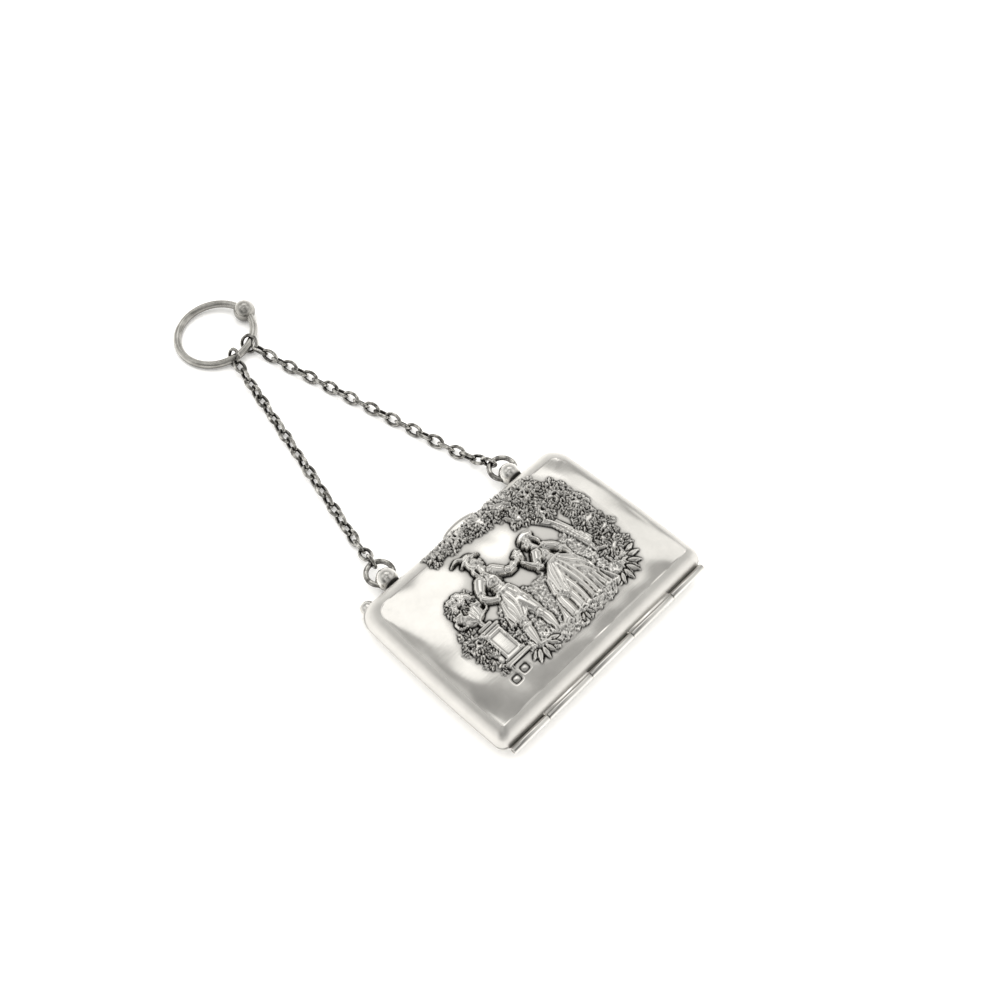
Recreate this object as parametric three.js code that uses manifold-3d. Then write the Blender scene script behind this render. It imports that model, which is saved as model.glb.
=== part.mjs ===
// Silver purse lying on its back, in millimetres, +Z up.
// The origin is the middle of the flat back that the purse rests on.
// +X runs along the hinge, and +Y runs from the hinge towards the chains and the finger ring.
import * as THREE from 'three';
import { mergeVertices } from 'three/addons/utils/BufferGeometryUtils.js';
import Module from 'manifold-3d';

const wasm = await Module();
wasm.setup();

// Shells: two pressed silver trays that meet rim to rim
const backHalfX = 38.7;
const backHalfY = 27.3;
const backCorner = 5.8;
const backHingeCorner = 2.5;
const frontHalfX = 38.6;
const frontHalfY = 27.1;
const frontCorner = 6.0;
const frontHingeCorner = 2.7;
const frontCentreY = -0.2;
const frontFaceShift = -0.5;
const sideBow = 0.4;
const bowPower = 8;
const chainTaper = 0.9;
const wall = 0.7;
const partingHeight = 6.5;
const partingGap = 0.3;
const smallestCorner = 0.8;
const mouthCut = 0.5;
const cornerSteps = 4;
const longSideSteps = 2;
const shortSideSteps = 4;
const smallSides = 10;

// Each row is one section of a shell: how far it stands from the rim, how far its outline lies
// inside the rim's outline along X and along Y, how much smaller its corner radius is, and what share
// of the face's shift towards the hinge it takes
const frontSections = [
  { rise: 0.0, insetX: 0.0, insetY: 0.0, tighten: 0.0, shifted: 0.0 },
  { rise: 1.5, insetX: 0.3, insetY: 0.35, tighten: 0.2, shifted: 0.1 },
  { rise: 3.1, insetX: 1.1, insetY: 1.3, tighten: 0.6, shifted: 0.35 },
  { rise: 4.2, insetX: 2.2, insetY: 2.6, tighten: 1.2, shifted: 0.7 },
  { rise: 4.7, insetX: 3.2, insetY: 3.8, tighten: 2.0, shifted: 1.0 },
  { rise: 5.2, insetX: 8.0, insetY: 8.0, tighten: 2.6, shifted: 1.0 },
  { rise: 5.6, insetX: 18.0, insetY: 14.5, tighten: 3.0, shifted: 1.0 },
];
const frontCrown = 5.75;
const backSections = [
  { rise: 0.0, insetX: 0.0, insetY: 0.0, tighten: 0.0, shifted: 0.0 },
  { rise: 2.0, insetX: 0.5, insetY: 0.5, tighten: 0.2, shifted: 0.0 },
  { rise: 4.2, insetX: 1.8, insetY: 1.8, tighten: 0.6, shifted: 0.0 },
  { rise: 5.6, insetX: 3.6, insetY: 3.6, tighten: 1.2, shifted: 0.0 },
  { rise: 6.35, insetX: 6.4, insetY: 6.4, tighten: 1.8, shifted: 0.0 },
];
const backCrown = 6.35;

// Hinge along the lower long edge: five knuckles on one pin
const hingeY = -28.6;
const hingeHeight = partingHeight;
const knuckleRadius = 1.0;
const boreRadius = 0.62;
const boreOverrun = 1.0;
const pinRadius = 0.4;
const barrelHalf = 36.7;
const knuckleJoints = [-24, -8, 8, 24];
const knuckleGap = 0.3;
const leafHeight = 1.3;
const leafReach = 2.1;

// Ball studs on the top edge, each with a flared foot and a jump ring threaded through it
const studX = 23.75;
const studY = 30.2;
const studHeight = 5.0;
const studBall = 3.15;
const footRadius = 3.9;
const footFlat = 0.36;
const footStartY = 26.6;
const footRim = 0.7;
const footShoulder = 1.05;
const footShoulderRadius = 3.1;
const neckY = 27.95;
const neckRadius = 2.2;
const ballStartY = 28.2;
const studSides = 10;
const ballSteps = 4;
const jumpRingY = 32.95;
const jumpRingRadius = 3.7;
const jumpRingWire = 0.75;
const jumpRingSides = 12;
const ringWireSides = 6;
const threadGap = 0.3;

// Domed knob by the left end of the top edge, and the thumb lip on the cover
const knobPlace = new THREE.Vector3(-33.4, 27.4, 4.0);
const knobRadius = 2.6;
const lipPlace = new THREE.Vector3(0.3, 26.5, 7.9);
const lipSize = new THREE.Vector3(6.2, 1.9, 0.9);

// Finger ring lying on the surface, propped up by its ball and by a chain's end link.
// The tips are in degrees: tipX raises the side towards the purse, tipY raises the ball.
const fingerRingPlace = new THREE.Vector3(0.85, 131.7, 2.25);
const fingerRingTipX = 1.7;
const fingerRingTipY = 5.1;
const fingerRingRadius = 11.7;
const fingerRingWire = 1.15;
const fingerRingSides = 24;
const fingerBall = 3.3;

// Chains: oval cable links, the last one on each strand round
const linkCount = 24;
const linkWire = 0.54;
const linkInnerWidth = 1.8;
const linkBite = 0.24;
const endLinkInner = 3.9;
const linkSides = 10;
const wireSides = 5;
const threadSlack = 0.14;
const dropLength = 15;
const linkSway = 7;
const swayStep = 1.7;
const easeLinks = 5;
const routeSteps = 400;

// Garden relief raised on the cover. Places are from the middle of the scene, u along the hinge and
// v towards the chains, and the whole scene is enlarged by reliefScale to fill the face.
const reliefScale = 1.18;
const reliefMiddle = new THREE.Vector2(0.5, -1.1);
const reliefSink = 0.5;
const formSides = 6;
const formRings = 4;
const limbSides = 5;
const limbCapSteps = 1;
const leafClusters = [
  { u: 19.0, v: 3.0, across: 3.2, along: 2.9, height: 0.7 },
  { u: 20.3, v: 8.0, across: 3.4, along: 3.2, height: 0.8 },
  { u: 19.0, v: 13.4, across: 3.8, along: 3.4, height: 0.9 },
  { u: 14.0, v: 17.0, across: 4.2, along: 3.3, height: 1.0 },
  { u: 14.6, v: 11.0, across: 3.4, along: 3.0, height: 0.9 },
  { u: 7.6, v: 18.4, across: 4.0, along: 3.0, height: 1.0 },
  { u: 9.0, v: 13.6, across: 3.2, along: 2.4, height: 0.9 },
  { u: 1.0, v: 18.9, across: 3.8, along: 2.6, height: 0.9 },
  { u: -5.2, v: 18.3, across: 3.4, along: 2.4, height: 0.8 },
  { u: 18.6, v: -6.5, across: 3.0, along: 3.2, height: 0.7 },
  { u: -16.5, v: 8.6, across: 3.4, along: 2.7, height: 1.0 },
  { u: -20.6, v: -3.6, across: 2.6, along: 4.0, height: 0.7 },
];
const lowLeaves = [
  { u: -16.0, v: -13.8, turn: 155, reach: 4.8 },
  { u: -8.4, v: -16.4, turn: 170, reach: 5.0 },
  { u: 0.2, v: -17.2, turn: 185, reach: 5.0 },
  { u: 9.0, v: -16.4, turn: 10, reach: 5.0 },
  { u: 16.6, v: -13.4, turn: 35, reach: 4.8 },
];
const lowLeafWidth = 1.5;
const lowLeafHeight = 0.55;
const roundForms = [
  { u: 5.4, v: 7.2, across: 1.6, along: 1.85, height: 1.5 },
  { u: 6.6, v: 8.3, across: 1.4, along: 1.3, height: 1.2 },
  { u: -6.6, v: 12.0, across: 1.55, along: 1.8, height: 1.5 },
  { u: 1.5, v: 5.4, across: 1.3, along: 1.2, height: 1.2 },
  { u: -16.4, v: 3.6, across: 3.2, along: 2.5, height: 1.3 },
  { u: -16.4, v: -1.2, across: 2.0, along: 0.8, height: 1.0 },
  { u: -16.4, v: -11.2, across: 3.8, along: 1.0, height: 1.0 },
];
const limbs = [
  { u0: 16.6, v0: -11.5, r0: 2.0, u1: 15.4, v1: -1.5, r1: 1.5, height: 1.1 },
  { u0: 15.4, v0: -1.5, r0: 1.5, u1: 12.6, v1: 7.5, r1: 1.1, height: 1.1 },
  { u0: 5.7, v0: 4.2, r0: 2.1, u1: 6.4, v1: -0.8, r1: 1.8, height: 1.4 },
  { u0: 6.2, v0: -2.4, r0: 2.5, u1: 0.6, v1: -4.0, r1: 2.3, height: 1.5 },
  { u0: 0.4, v0: -4.6, r0: 2.4, u1: -1.2, v1: -11.4, r1: 3.0, height: 1.4 },
  { u0: 4.6, v0: -4.6, r0: 2.6, u1: 4.0, v1: -11.6, r1: 3.2, height: 1.3 },
  { u0: 8.0, v0: -3.6, r0: 2.2, u1: 9.4, v1: -11.6, r1: 2.9, height: 1.2 },
  { u0: 4.5, v0: 3.8, r0: 1.0, u1: 1.9, v1: 1.0, r1: 0.85, height: 1.6 },
  { u0: 1.9, v0: 1.0, r0: 0.85, u1: 0.2, v1: 3.6, r1: 0.65, height: 1.6 },
  { u0: 7.6, v0: 3.6, r0: 1.0, u1: 9.4, v1: 0.0, r1: 0.85, height: 1.5 },
  { u0: 9.4, v0: 0.0, r0: 0.85, u1: 6.2, v1: -2.4, r1: 0.6, height: 1.7 },
  { u0: -6.9, v0: 8.4, r0: 2.2, u1: -7.4, v1: 2.6, r1: 1.9, height: 1.4 },
  { u0: -7.4, v0: 2.4, r0: 2.2, u1: -8.6, v1: -2.4, r1: 2.7, height: 1.3 },
  { u0: -6.4, v0: -2.0, r0: 1.2, u1: -5.2, v1: -6.4, r1: 0.95, height: 1.3 },
  { u0: -5.2, v0: -6.4, r0: 0.95, u1: -5.6, v1: -11.6, r1: 0.6, height: 1.2 },
  { u0: -9.0, v0: -2.4, r0: 1.2, u1: -9.6, v1: -6.6, r1: 0.95, height: 1.2 },
  { u0: -9.6, v0: -6.6, r0: 0.95, u1: -11.0, v1: -11.4, r1: 0.6, height: 1.1 },
  { u0: -5.4, v0: 7.9, r0: 1.0, u1: -2.6, v1: 5.4, r1: 0.85, height: 1.6 },
  { u0: -2.6, v0: 5.4, r0: 0.85, u1: 0.4, v1: 5.6, r1: 0.6, height: 1.6 },
  { u0: -8.6, v0: 7.8, r0: 1.0, u1: -11.0, v1: 4.4, r1: 0.85, height: 1.3 },
  { u0: -11.0, v0: 4.4, r0: 0.85, u1: -9.2, v1: 1.4, r1: 0.6, height: 1.4 },
  { u0: -16.4, v0: -3.4, r0: 2.3, u1: -16.4, v1: -8.6, r1: 2.5, height: 1.0 },
];

// Silver finishes
const brightSilver = new THREE.MeshStandardMaterial({ color: 0xdddbd6, roughness: 0.22, metalness: 1 });
const wornSilver = new THREE.MeshStandardMaterial({ color: 0xb9b6b0, roughness: 0.32, metalness: 1 });
const darkSilver = new THREE.MeshStandardMaterial({ color: 0x8f8c87, roughness: 0.38, metalness: 1 });

// A closed geometry as a solid: vertices welded, empty triangles dropped, faces turned outwards
function toSolid(geometry) {
  const bare = new THREE.BufferGeometry();
  bare.setAttribute('position', geometry.getAttribute('position').clone());
  if (geometry.index) bare.setIndex(geometry.index.clone());
  const welded = mergeVertices(bare, 1e-4);
  const places = new Float32Array(welded.getAttribute('position').array);
  const corners = welded.index.array;
  const kept = [];
  let volume = 0;
  const [a, b, c] = [new THREE.Vector3(), new THREE.Vector3(), new THREE.Vector3()];
  for (let t = 0; t < corners.length; t += 3) {
    const [i, j, k] = [corners[t], corners[t + 1], corners[t + 2]];
    if (i === j || j === k || k === i) continue;
    kept.push(i, j, k);
    a.fromArray(places, 3 * i);
    b.fromArray(places, 3 * j);
    c.fromArray(places, 3 * k);
    volume += a.dot(b.cross(c));
  }
  const triangles = new Uint32Array(kept);
  if (volume < 0) triangles.reverse();
  return new wasm.Manifold(new wasm.Mesh({ numProp: 3, vertProperties: places, triVerts: triangles }));
}

function toMesh(name, solid, material) {
  const { vertProperties, triVerts } = solid.getMesh();
  const geometry = new THREE.BufferGeometry();
  geometry.setAttribute('position', new THREE.BufferAttribute(new Float32Array(vertProperties), 3));
  geometry.setIndex(new THREE.BufferAttribute(new Uint32Array(triVerts), 1));
  geometry.computeVertexNormals();
  const mesh = new THREE.Mesh(geometry, material);
  mesh.name = name;
  return mesh;
}

function joined(solids) {
  return solids.reduce((whole, solid) => whole.add(solid));
}

// One outline of a shell: a rounded rectangle, squarer at the hinge, whose ends bow out a little and
// draw in towards the chains. Seen from above it runs anticlockwise from the right-hand side.
function shellOutline(halfX, halfY, corner, hingeCorner, centreY, height) {
  const points = [];
  const bowed = (x, y) => {
    const swell = sideBow * (1 - (y / halfY) ** 2) - chainTaper * ((1 + y / halfY) / 2) ** 2;
    const outX = swell * Math.sign(x) * (Math.abs(x) / halfX) ** bowPower;
    points.push(new THREE.Vector3(x + outX, centreY + y, height));
  };
  const quarters = [
    { sx: 1, sy: 1, start: 0, sideSteps: longSideSteps },
    { sx: -1, sy: 1, start: 90, sideSteps: shortSideSteps },
    { sx: -1, sy: -1, start: 180, sideSteps: longSideSteps },
    { sx: 1, sy: -1, start: 270, sideSteps: shortSideSteps },
  ];
  for (const [q, { sx, sy, start, sideSteps }] of quarters.entries()) {
    const radius = sy > 0 ? corner : hingeCorner;
    const cx = sx * (halfX - radius);
    const cy = sy * (halfY - radius);
    for (let s = 0; s <= cornerSteps; s += 1) {
      const angle = THREE.MathUtils.degToRad(start + (90 * s) / cornerSteps);
      bowed(cx + radius * Math.cos(angle), cy + radius * Math.sin(angle));
    }
    const next = quarters[(q + 1) % 4];
    const nextRadius = next.sy > 0 ? corner : hingeCorner;
    const endAngle = THREE.MathUtils.degToRad(start + 90);
    const fromX = cx + radius * Math.cos(endAngle);
    const fromY = cy + radius * Math.sin(endAngle);
    const toX = next.sx * (halfX - nextRadius) + nextRadius * Math.cos(endAngle);
    const toY = next.sy * (halfY - nextRadius) + nextRadius * Math.sin(endAngle);
    for (let s = 1; s < sideSteps; s += 1) {
      const share = s / sideSteps;
      bowed(fromX + (toX - fromX) * share, fromY + (toY - fromY) * share);
    }
  }
  return points;
}

// Quads between neighbouring outlines; the first and last outlines are single points
function loftRings(outlines) {
  const count = outlines[0].length;
  const places = outlines.flat().flatMap((p) => p.toArray());
  const index = [];
  for (let i = 0; i < outlines.length - 1; i += 1) {
    const here = i * count;
    const above = here + count;
    for (let j = 0; j < count; j += 1) {
      const k = (j + 1) % count;
      index.push(here + j, here + k, above + k, here + j, above + k, above + j);
    }
  }
  const geometry = new THREE.BufferGeometry();
  geometry.setAttribute('position', new THREE.Float32BufferAttribute(places, 3));
  geometry.setIndex(index);
  return geometry;
}

// A tray from its table of sections, as its outer form and the plainer hollow inside it.
// direction is +1 for the cover, which rises from its rim, and -1 for the back, which hangs from it.
function shellForms({
  halfX, halfY, corner, hingeCorner, centreY, faceShift, sections, crown, rimHeight, direction,
}) {
  const outlineAt = ({ rise, insetX, insetY, tighten, shifted }, inwards, sunk) =>
    shellOutline(
      halfX - insetX - inwards,
      halfY - insetY - inwards,
      Math.max(corner - tighten - inwards, smallestCorner),
      Math.max(hingeCorner - tighten - inwards, smallestCorner),
      centreY + faceShift * shifted,
      rimHeight + direction * (rise - sunk),
    );
  const middleAt = (outline, rise) =>
    outline.map(() => new THREE.Vector3(0, centreY, rimHeight + direction * rise));
  const closed = (outlines, top, bottom) => {
    const rings = [middleAt(outlines[0], bottom), ...outlines, middleAt(outlines[0], top)];
    return toSolid(loftRings(direction > 0 ? rings : rings.reverse()));
  };
  const outer = sections.map((section) => outlineAt(section, 0, 0));
  const inner = sections.map((section, i) => {
    const before = sections[Math.max(i - 1, 0)];
    const after = sections[Math.min(i + 1, sections.length - 1)];
    const slope = Math.atan2(after.rise - before.rise, after.insetY - before.insetY);
    const atRim = i === 0;
    return outlineAt(section, atRim ? wall : wall * Math.sin(slope), atRim ? 0 : wall * Math.cos(slope));
  });
  const plainInner = inner.filter((outline, i) => i % 2 === 0);
  const mouth = outlineAt(sections[0], wall, mouthCut);
  return {
    outer: closed(outer, crown, 0),
    hollow: closed([mouth, ...plainInner], crown - wall, -mouthCut),
  };
}

// Height of the cover's face at a place on it, read from its table of sections
function faceHeight(x, y) {
  const insetX = frontHalfX - Math.abs(x);
  const insetY = frontHalfY - Math.abs(y - frontCentreY - frontFaceShift);
  const riseAlong = (inset, column) => {
    const rows = [...frontSections, { rise: frontCrown, insetX: frontHalfX, insetY: frontHalfY }];
    const upper = rows.findIndex((row) => row[column] >= inset);
    if (upper <= 0) return upper < 0 ? frontCrown : 0;
    const [low, high] = [rows[upper - 1], rows[upper]];
    return THREE.MathUtils.mapLinear(inset, low[column], high[column], low.rise, high.rise);
  };
  return partingHeight + partingGap / 2 + Math.min(riseAlong(insetX, 'insetX'), riseAlong(insetY, 'insetY'));
}

// A place in the garden scene as a place on the cover, a little below its face
function onFace(u, v) {
  const x = reliefMiddle.x + reliefScale * u;
  const y = reliefMiddle.y + reliefScale * v;
  return new THREE.Vector3(x, y, faceHeight(x, y) - reliefSink);
}

// A rounded form standing a given height above the face
function raisedForm(u, v, across, along, height, turn) {
  const geometry = new THREE.SphereGeometry(1, formSides, formRings);
  geometry.rotateX(Math.PI / 2);
  geometry.scale(reliefScale * across, reliefScale * along, height + reliefSink);
  geometry.rotateZ(THREE.MathUtils.degToRad(turn));
  const place = onFace(u, v);
  geometry.translate(place.x, place.y, place.z);
  return toSolid(geometry);
}

// A tapered rounded bar standing a given height above the face: an arm, a leg, a trunk or a fold
function raisedLimb({ u0, v0, r0, u1, v1, r1, height }) {
  const length = Math.hypot(u1 - u0, v1 - v0);
  const profile = [];
  for (let s = 0; s <= limbCapSteps; s += 1) {
    const angle = (Math.PI / 2) * (s / limbCapSteps);
    profile.push(new THREE.Vector2(r0 * Math.sin(angle), -r0 * Math.cos(angle)));
  }
  for (let s = limbCapSteps; s >= 0; s -= 1) {
    const angle = (Math.PI / 2) * (s / limbCapSteps);
    profile.push(new THREE.Vector2(r1 * Math.sin(angle), length + r1 * Math.cos(angle)));
  }
  const geometry = new THREE.LatheGeometry(profile, limbSides);
  const flatten = (height + reliefSink) / Math.max(r0, r1);
  geometry.scale(reliefScale, reliefScale, flatten);
  geometry.rotateZ(Math.atan2(v1 - v0, u1 - u0) - Math.PI / 2);
  const start = onFace(u0, v0);
  const middle = onFace((u0 + u1) / 2, (v0 + v1) / 2);
  geometry.translate(start.x, start.y, middle.z);
  return toSolid(geometry);
}

function gardenRelief() {
  return joined([
    ...leafClusters.map((c) => raisedForm(c.u, c.v, c.across, c.along, c.height, 0)),
    ...roundForms.map((f) => raisedForm(f.u, f.v, f.across, f.along, f.height, 0)),
    ...lowLeaves.map((l) => raisedForm(l.u, l.v, l.reach, lowLeafWidth, lowLeafHeight, l.turn)),
    ...limbs.map(raisedLimb),
  ]);
}

// One hinge knuckle with the leaf that is soldered to its shell, side +1 for the cover
function knuckle(fromX, toX, side) {
  const length = toX - fromX;
  const barrel = new THREE.CylinderGeometry(knuckleRadius, knuckleRadius, length, smallSides);
  barrel.rotateZ(Math.PI / 2);
  const leaf = new THREE.BoxGeometry(length, leafReach, leafHeight);
  leaf.translate(0, leafReach / 2, side * (leafHeight / 2 + partingGap / 2));
  const bore = new THREE.CylinderGeometry(boreRadius, boreRadius, length + boreOverrun, smallSides);
  bore.rotateZ(Math.PI / 2);
  const solid = toSolid(barrel).add(toSolid(leaf)).subtract(toSolid(bore));
  return solid.translate([(fromX + toX) / 2, hingeY, hingeHeight]);
}

function knucklesOf(side) {
  const ends = [-barrelHalf, ...knuckleJoints, barrelHalf];
  const solids = [];
  for (let k = 0; k < ends.length - 1; k += 1) {
    const onCover = k % 2 === 1;
    if (onCover !== side > 0) continue;
    const fromX = ends[k] + (k === 0 ? 0 : knuckleGap / 2);
    const toX = ends[k + 1] - (k === ends.length - 2 ? 0 : knuckleGap / 2);
    solids.push(knuckle(fromX, toX, side));
  }
  return solids;
}

// A ball on a flared foot, turned about Y
function ballStud(x) {
  const profile = [
    new THREE.Vector2(0, footStartY),
    new THREE.Vector2(footRadius, footStartY),
    new THREE.Vector2(footRadius, footStartY + footRim),
    new THREE.Vector2(footShoulderRadius, footStartY + footShoulder),
    new THREE.Vector2(neckRadius, neckY),
  ];
  const first = Math.asin((ballStartY - studY) / studBall);
  for (let s = 0; s <= ballSteps; s += 1) {
    const angle = first + ((Math.PI / 2 - first) * s) / ballSteps;
    const radius = s === ballSteps ? 0 : studBall * Math.cos(angle);
    profile.push(new THREE.Vector2(radius, studY + studBall * Math.sin(angle)));
  }
  const geometry = new THREE.LatheGeometry(profile, studSides);
  const places = geometry.getAttribute('position');
  for (let i = 0; i < places.count; i += 1) {
    const onFoot = places.getY(i) < neckY;
    if (onFoot) places.setZ(i, places.getZ(i) * footFlat);
  }
  geometry.translate(x, 0, studHeight);
  return toSolid(geometry);
}

function jumpRing(x, wire) {
  const geometry = new THREE.TorusGeometry(jumpRingRadius, wire, ringWireSides, jumpRingSides);
  geometry.translate(x, jumpRingY, studHeight);
  return toSolid(geometry);
}

function domedKnob() {
  const geometry = new THREE.SphereGeometry(knobRadius, studSides, ballSteps);
  geometry.translate(knobPlace.x, knobPlace.y, knobPlace.z);
  return toSolid(geometry);
}

function thumbLip() {
  const geometry = new THREE.SphereGeometry(1, studSides, formRings);
  geometry.rotateX(Math.PI / 2);
  geometry.scale(lipSize.x, lipSize.y, lipSize.z);
  geometry.translate(lipPlace.x, lipPlace.y, lipPlace.z);
  return toSolid(geometry);
}

// From the finger ring's own plane, its ball on +X, to where it lies
function fingerRingLay() {
  const tipX = THREE.MathUtils.degToRad(-fingerRingTipX);
  const tipY = THREE.MathUtils.degToRad(-fingerRingTipY);
  const lay = new THREE.Matrix4().makeRotationFromEuler(new THREE.Euler(tipX, tipY, 0));
  return lay.setPosition(fingerRingPlace);
}

function fingerRing() {
  const wire = new THREE.TorusGeometry(fingerRingRadius, fingerRingWire, ringWireSides, fingerRingSides);
  const ball = new THREE.SphereGeometry(fingerBall, studSides, 2 * ballSteps);
  ball.translate(fingerRingRadius, 0, 0);
  const lay = fingerRingLay();
  return toSolid(wire.applyMatrix4(lay)).add(toSolid(ball.applyMatrix4(lay)));
}

// A place on the finger ring's wire, by its angle from +X
function onFingerRing(degrees) {
  const angle = THREE.MathUtils.degToRad(degrees);
  const place = new THREE.Vector3(Math.cos(angle), Math.sin(angle), 0);
  return place.multiplyScalar(fingerRingRadius).applyMatrix4(fingerRingLay());
}

// A link lying in its own XY plane, its length along X
function linkGeometry(innerLength, innerWidth) {
  const bend = innerWidth / 2 + linkWire;
  const geometry = new THREE.TorusGeometry(bend, linkWire, wireSides, linkSides);
  const places = geometry.getAttribute('position');
  const stretch = (innerLength - innerWidth) / 2;
  for (let i = 0; i < places.count; i += 1) {
    places.setX(i, places.getX(i) + Math.sign(places.getX(i)) * stretch);
  }
  return geometry;
}

// One strand from its jump ring to the finger ring, down to the surface and along it
function chainStrand({ x, towardsDegrees, ringDegrees, lean, endTwist, rest }) {
  const towards = THREE.MathUtils.degToRad(towardsDegrees);
  const start = new THREE.Vector3(
    x + jumpRingRadius * Math.cos(towards),
    jumpRingY + jumpRingRadius * Math.sin(towards),
    studHeight,
  );
  const end = onFingerRing(ringDegrees);
  end.z = Math.max(end.z, endLinkRest(lean, endTwist));
  const reach = new THREE.Vector3().subVectors(end, start);
  reach.z = 0;
  const span = reach.length();
  const along = reach.normalize();
  const heightAt = (s) => {
    const drop = Math.max(1 - s / dropLength, 0) ** 2 * (start.z - rest);
    const climb = Math.max(1 - (span - s) / dropLength, 0) ** 2 * (end.z - rest);
    return rest + drop + climb;
  };
  const points = [];
  for (let i = 0; i <= routeSteps; i += 1) {
    const s = (span * i) / routeSteps;
    points.push(new THREE.Vector3(start.x + along.x * s, start.y + along.y * s, heightAt(s)));
  }
  const route = new THREE.CatmullRomCurve3(points);
  route.arcLengthDivisions = 2 * routeSteps;
  const routeLength = route.getLength();
  const firstOffset = -jumpRingWire - threadSlack;
  const lastOffset = routeLength + endLinkInner / 2;
  const inner = (lastOffset - firstOffset - endLinkInner - linkBite * (linkCount - 1)) / (linkCount - 1);
  const solids = [];
  for (let k = 0; k < linkCount; k += 1) {
    const isEnd = k === linkCount - 1;
    const innerLength = isEnd ? endLinkInner : inner;
    const centre = firstOffset + k * (inner + linkBite) + innerLength / 2;
    const share = THREE.MathUtils.clamp(centre / routeLength, 0, 1);
    const tangent = route.getTangentAt(share);
    const sideways = new THREE.Vector3(tangent.y, -tangent.x, 0).normalize();
    const upwards = new THREE.Vector3().crossVectors(sideways, tangent);
    const roll = THREE.MathUtils.degToRad(linkRoll(k, lean, endTwist));
    const normal = upwards.multiplyScalar(Math.cos(roll)).addScaledVector(sideways, Math.sin(roll));
    const across = new THREE.Vector3().crossVectors(normal, tangent);
    const place = new THREE.Matrix4().makeBasis(tangent, across, normal);
    place.setPosition(route.getPointAt(share));
    const geometry = linkGeometry(innerLength, isEnd ? endLinkInner : linkInnerWidth);
    geometry.applyMatrix4(place);
    solids.push(toSolid(geometry));
  }
  return joined(solids);
}

// Lowest middle height at which the turned end link clears the surface
function endLinkRest(lean, endTwist) {
  const roll = THREE.MathUtils.degToRad(linkRoll(linkCount - 1, lean, endTwist));
  return (endLinkInner / 2 + linkWire) * Math.abs(Math.sin(roll)) + linkWire;
}

// Links alternate a quarter turn: upright on the jump ring, then leaning either way on the surface,
// and turned to take the finger ring's wire at the far end
function linkRoll(k, lean, endTwist) {
  const settled = (k % 2 === 0 ? lean : lean - 90) + linkSway * Math.sin(swayStep * k);
  const atJumpRing = (90 - lean) * (1 - THREE.MathUtils.smoothstep(k, 0, easeLinks));
  const atFingerRing = endTwist * THREE.MathUtils.smoothstep(k, linkCount - 1 - easeLinks, linkCount - 1);
  return settled + atJumpRing + atFingerRing;
}

const frontForms = shellForms({
  halfX: frontHalfX,
  halfY: frontHalfY,
  corner: frontCorner,
  hingeCorner: frontHingeCorner,
  centreY: frontCentreY,
  faceShift: frontFaceShift,
  sections: frontSections,
  crown: frontCrown,
  rimHeight: partingHeight + partingGap / 2,
  direction: 1,
});
const backForms = shellForms({
  halfX: backHalfX,
  halfY: backHalfY,
  corner: backCorner,
  hingeCorner: backHingeCorner,
  centreY: 0,
  faceShift: 0,
  sections: backSections,
  crown: backCrown,
  rimHeight: partingHeight - partingGap / 2,
  direction: -1,
});

const frontPieces = [frontForms.outer, gardenRelief(), thumbLip(), ...knucklesOf(1)];
const front = joined(frontPieces).subtract(frontForms.hollow);
const studs = joined([ballStud(-studX), ballStud(studX), domedKnob()]);
const threads = jumpRing(-studX, jumpRingWire + threadGap).add(jumpRing(studX, jumpRingWire + threadGap));
const backPieces = [backForms.outer, studs, ...knucklesOf(-1)];
const back = joined(backPieces).subtract(backForms.hollow).subtract(threads);

const pinGeometry = new THREE.CylinderGeometry(pinRadius, pinRadius, 2 * barrelHalf, smallSides);
pinGeometry.rotateZ(Math.PI / 2);
pinGeometry.translate(0, hingeY, hingeHeight);

const chainLeft = chainStrand({
  x: -studX,
  towardsDegrees: 76,
  ringDegrees: 259,
  lean: 25,
  endTwist: -5,
  rest: 1.9,
});
const chainRight = chainStrand({
  x: studX,
  towardsDegrees: 102,
  ringDegrees: 292,
  lean: 45,
  endTwist: -8,
  rest: 1.62,
});

const purse = new THREE.Group();
purse.add(
  toMesh('front_shell', front, brightSilver),
  toMesh('back_shell', back, brightSilver),
  toMesh('hinge_pin', toSolid(pinGeometry), wornSilver),
  toMesh('jump_ring_left', jumpRing(-studX, jumpRingWire), darkSilver),
  toMesh('jump_ring_right', jumpRing(studX, jumpRingWire), darkSilver),
  toMesh('chain_left', chainLeft, darkSilver),
  toMesh('chain_right', chainRight, darkSilver),
  toMesh('finger_ring', fingerRing(), wornSilver),
);

export default purse;
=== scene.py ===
import math
import bpy
import numpy as np
from mathutils import Euler, Matrix, Vector


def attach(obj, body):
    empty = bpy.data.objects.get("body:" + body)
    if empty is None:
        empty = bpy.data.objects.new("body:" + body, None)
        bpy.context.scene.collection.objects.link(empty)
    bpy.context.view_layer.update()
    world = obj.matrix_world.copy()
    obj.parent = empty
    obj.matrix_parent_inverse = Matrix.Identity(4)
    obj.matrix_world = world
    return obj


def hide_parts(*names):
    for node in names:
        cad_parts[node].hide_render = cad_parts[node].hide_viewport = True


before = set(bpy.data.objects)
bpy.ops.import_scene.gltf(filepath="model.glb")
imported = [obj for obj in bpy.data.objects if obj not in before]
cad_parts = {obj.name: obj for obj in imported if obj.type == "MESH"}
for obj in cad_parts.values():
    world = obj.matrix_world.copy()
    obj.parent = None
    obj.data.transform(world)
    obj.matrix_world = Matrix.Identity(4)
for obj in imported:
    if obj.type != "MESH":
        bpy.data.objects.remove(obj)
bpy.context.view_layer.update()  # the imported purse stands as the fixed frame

mm = 0.001  # pieces are modelled in millimetres and settled in metres


def clearSelection():
    if bpy.context.mode != "OBJECT":
        bpy.ops.object.mode_set(mode="OBJECT")
    bpy.ops.object.select_all(action="DESELECT")


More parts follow.
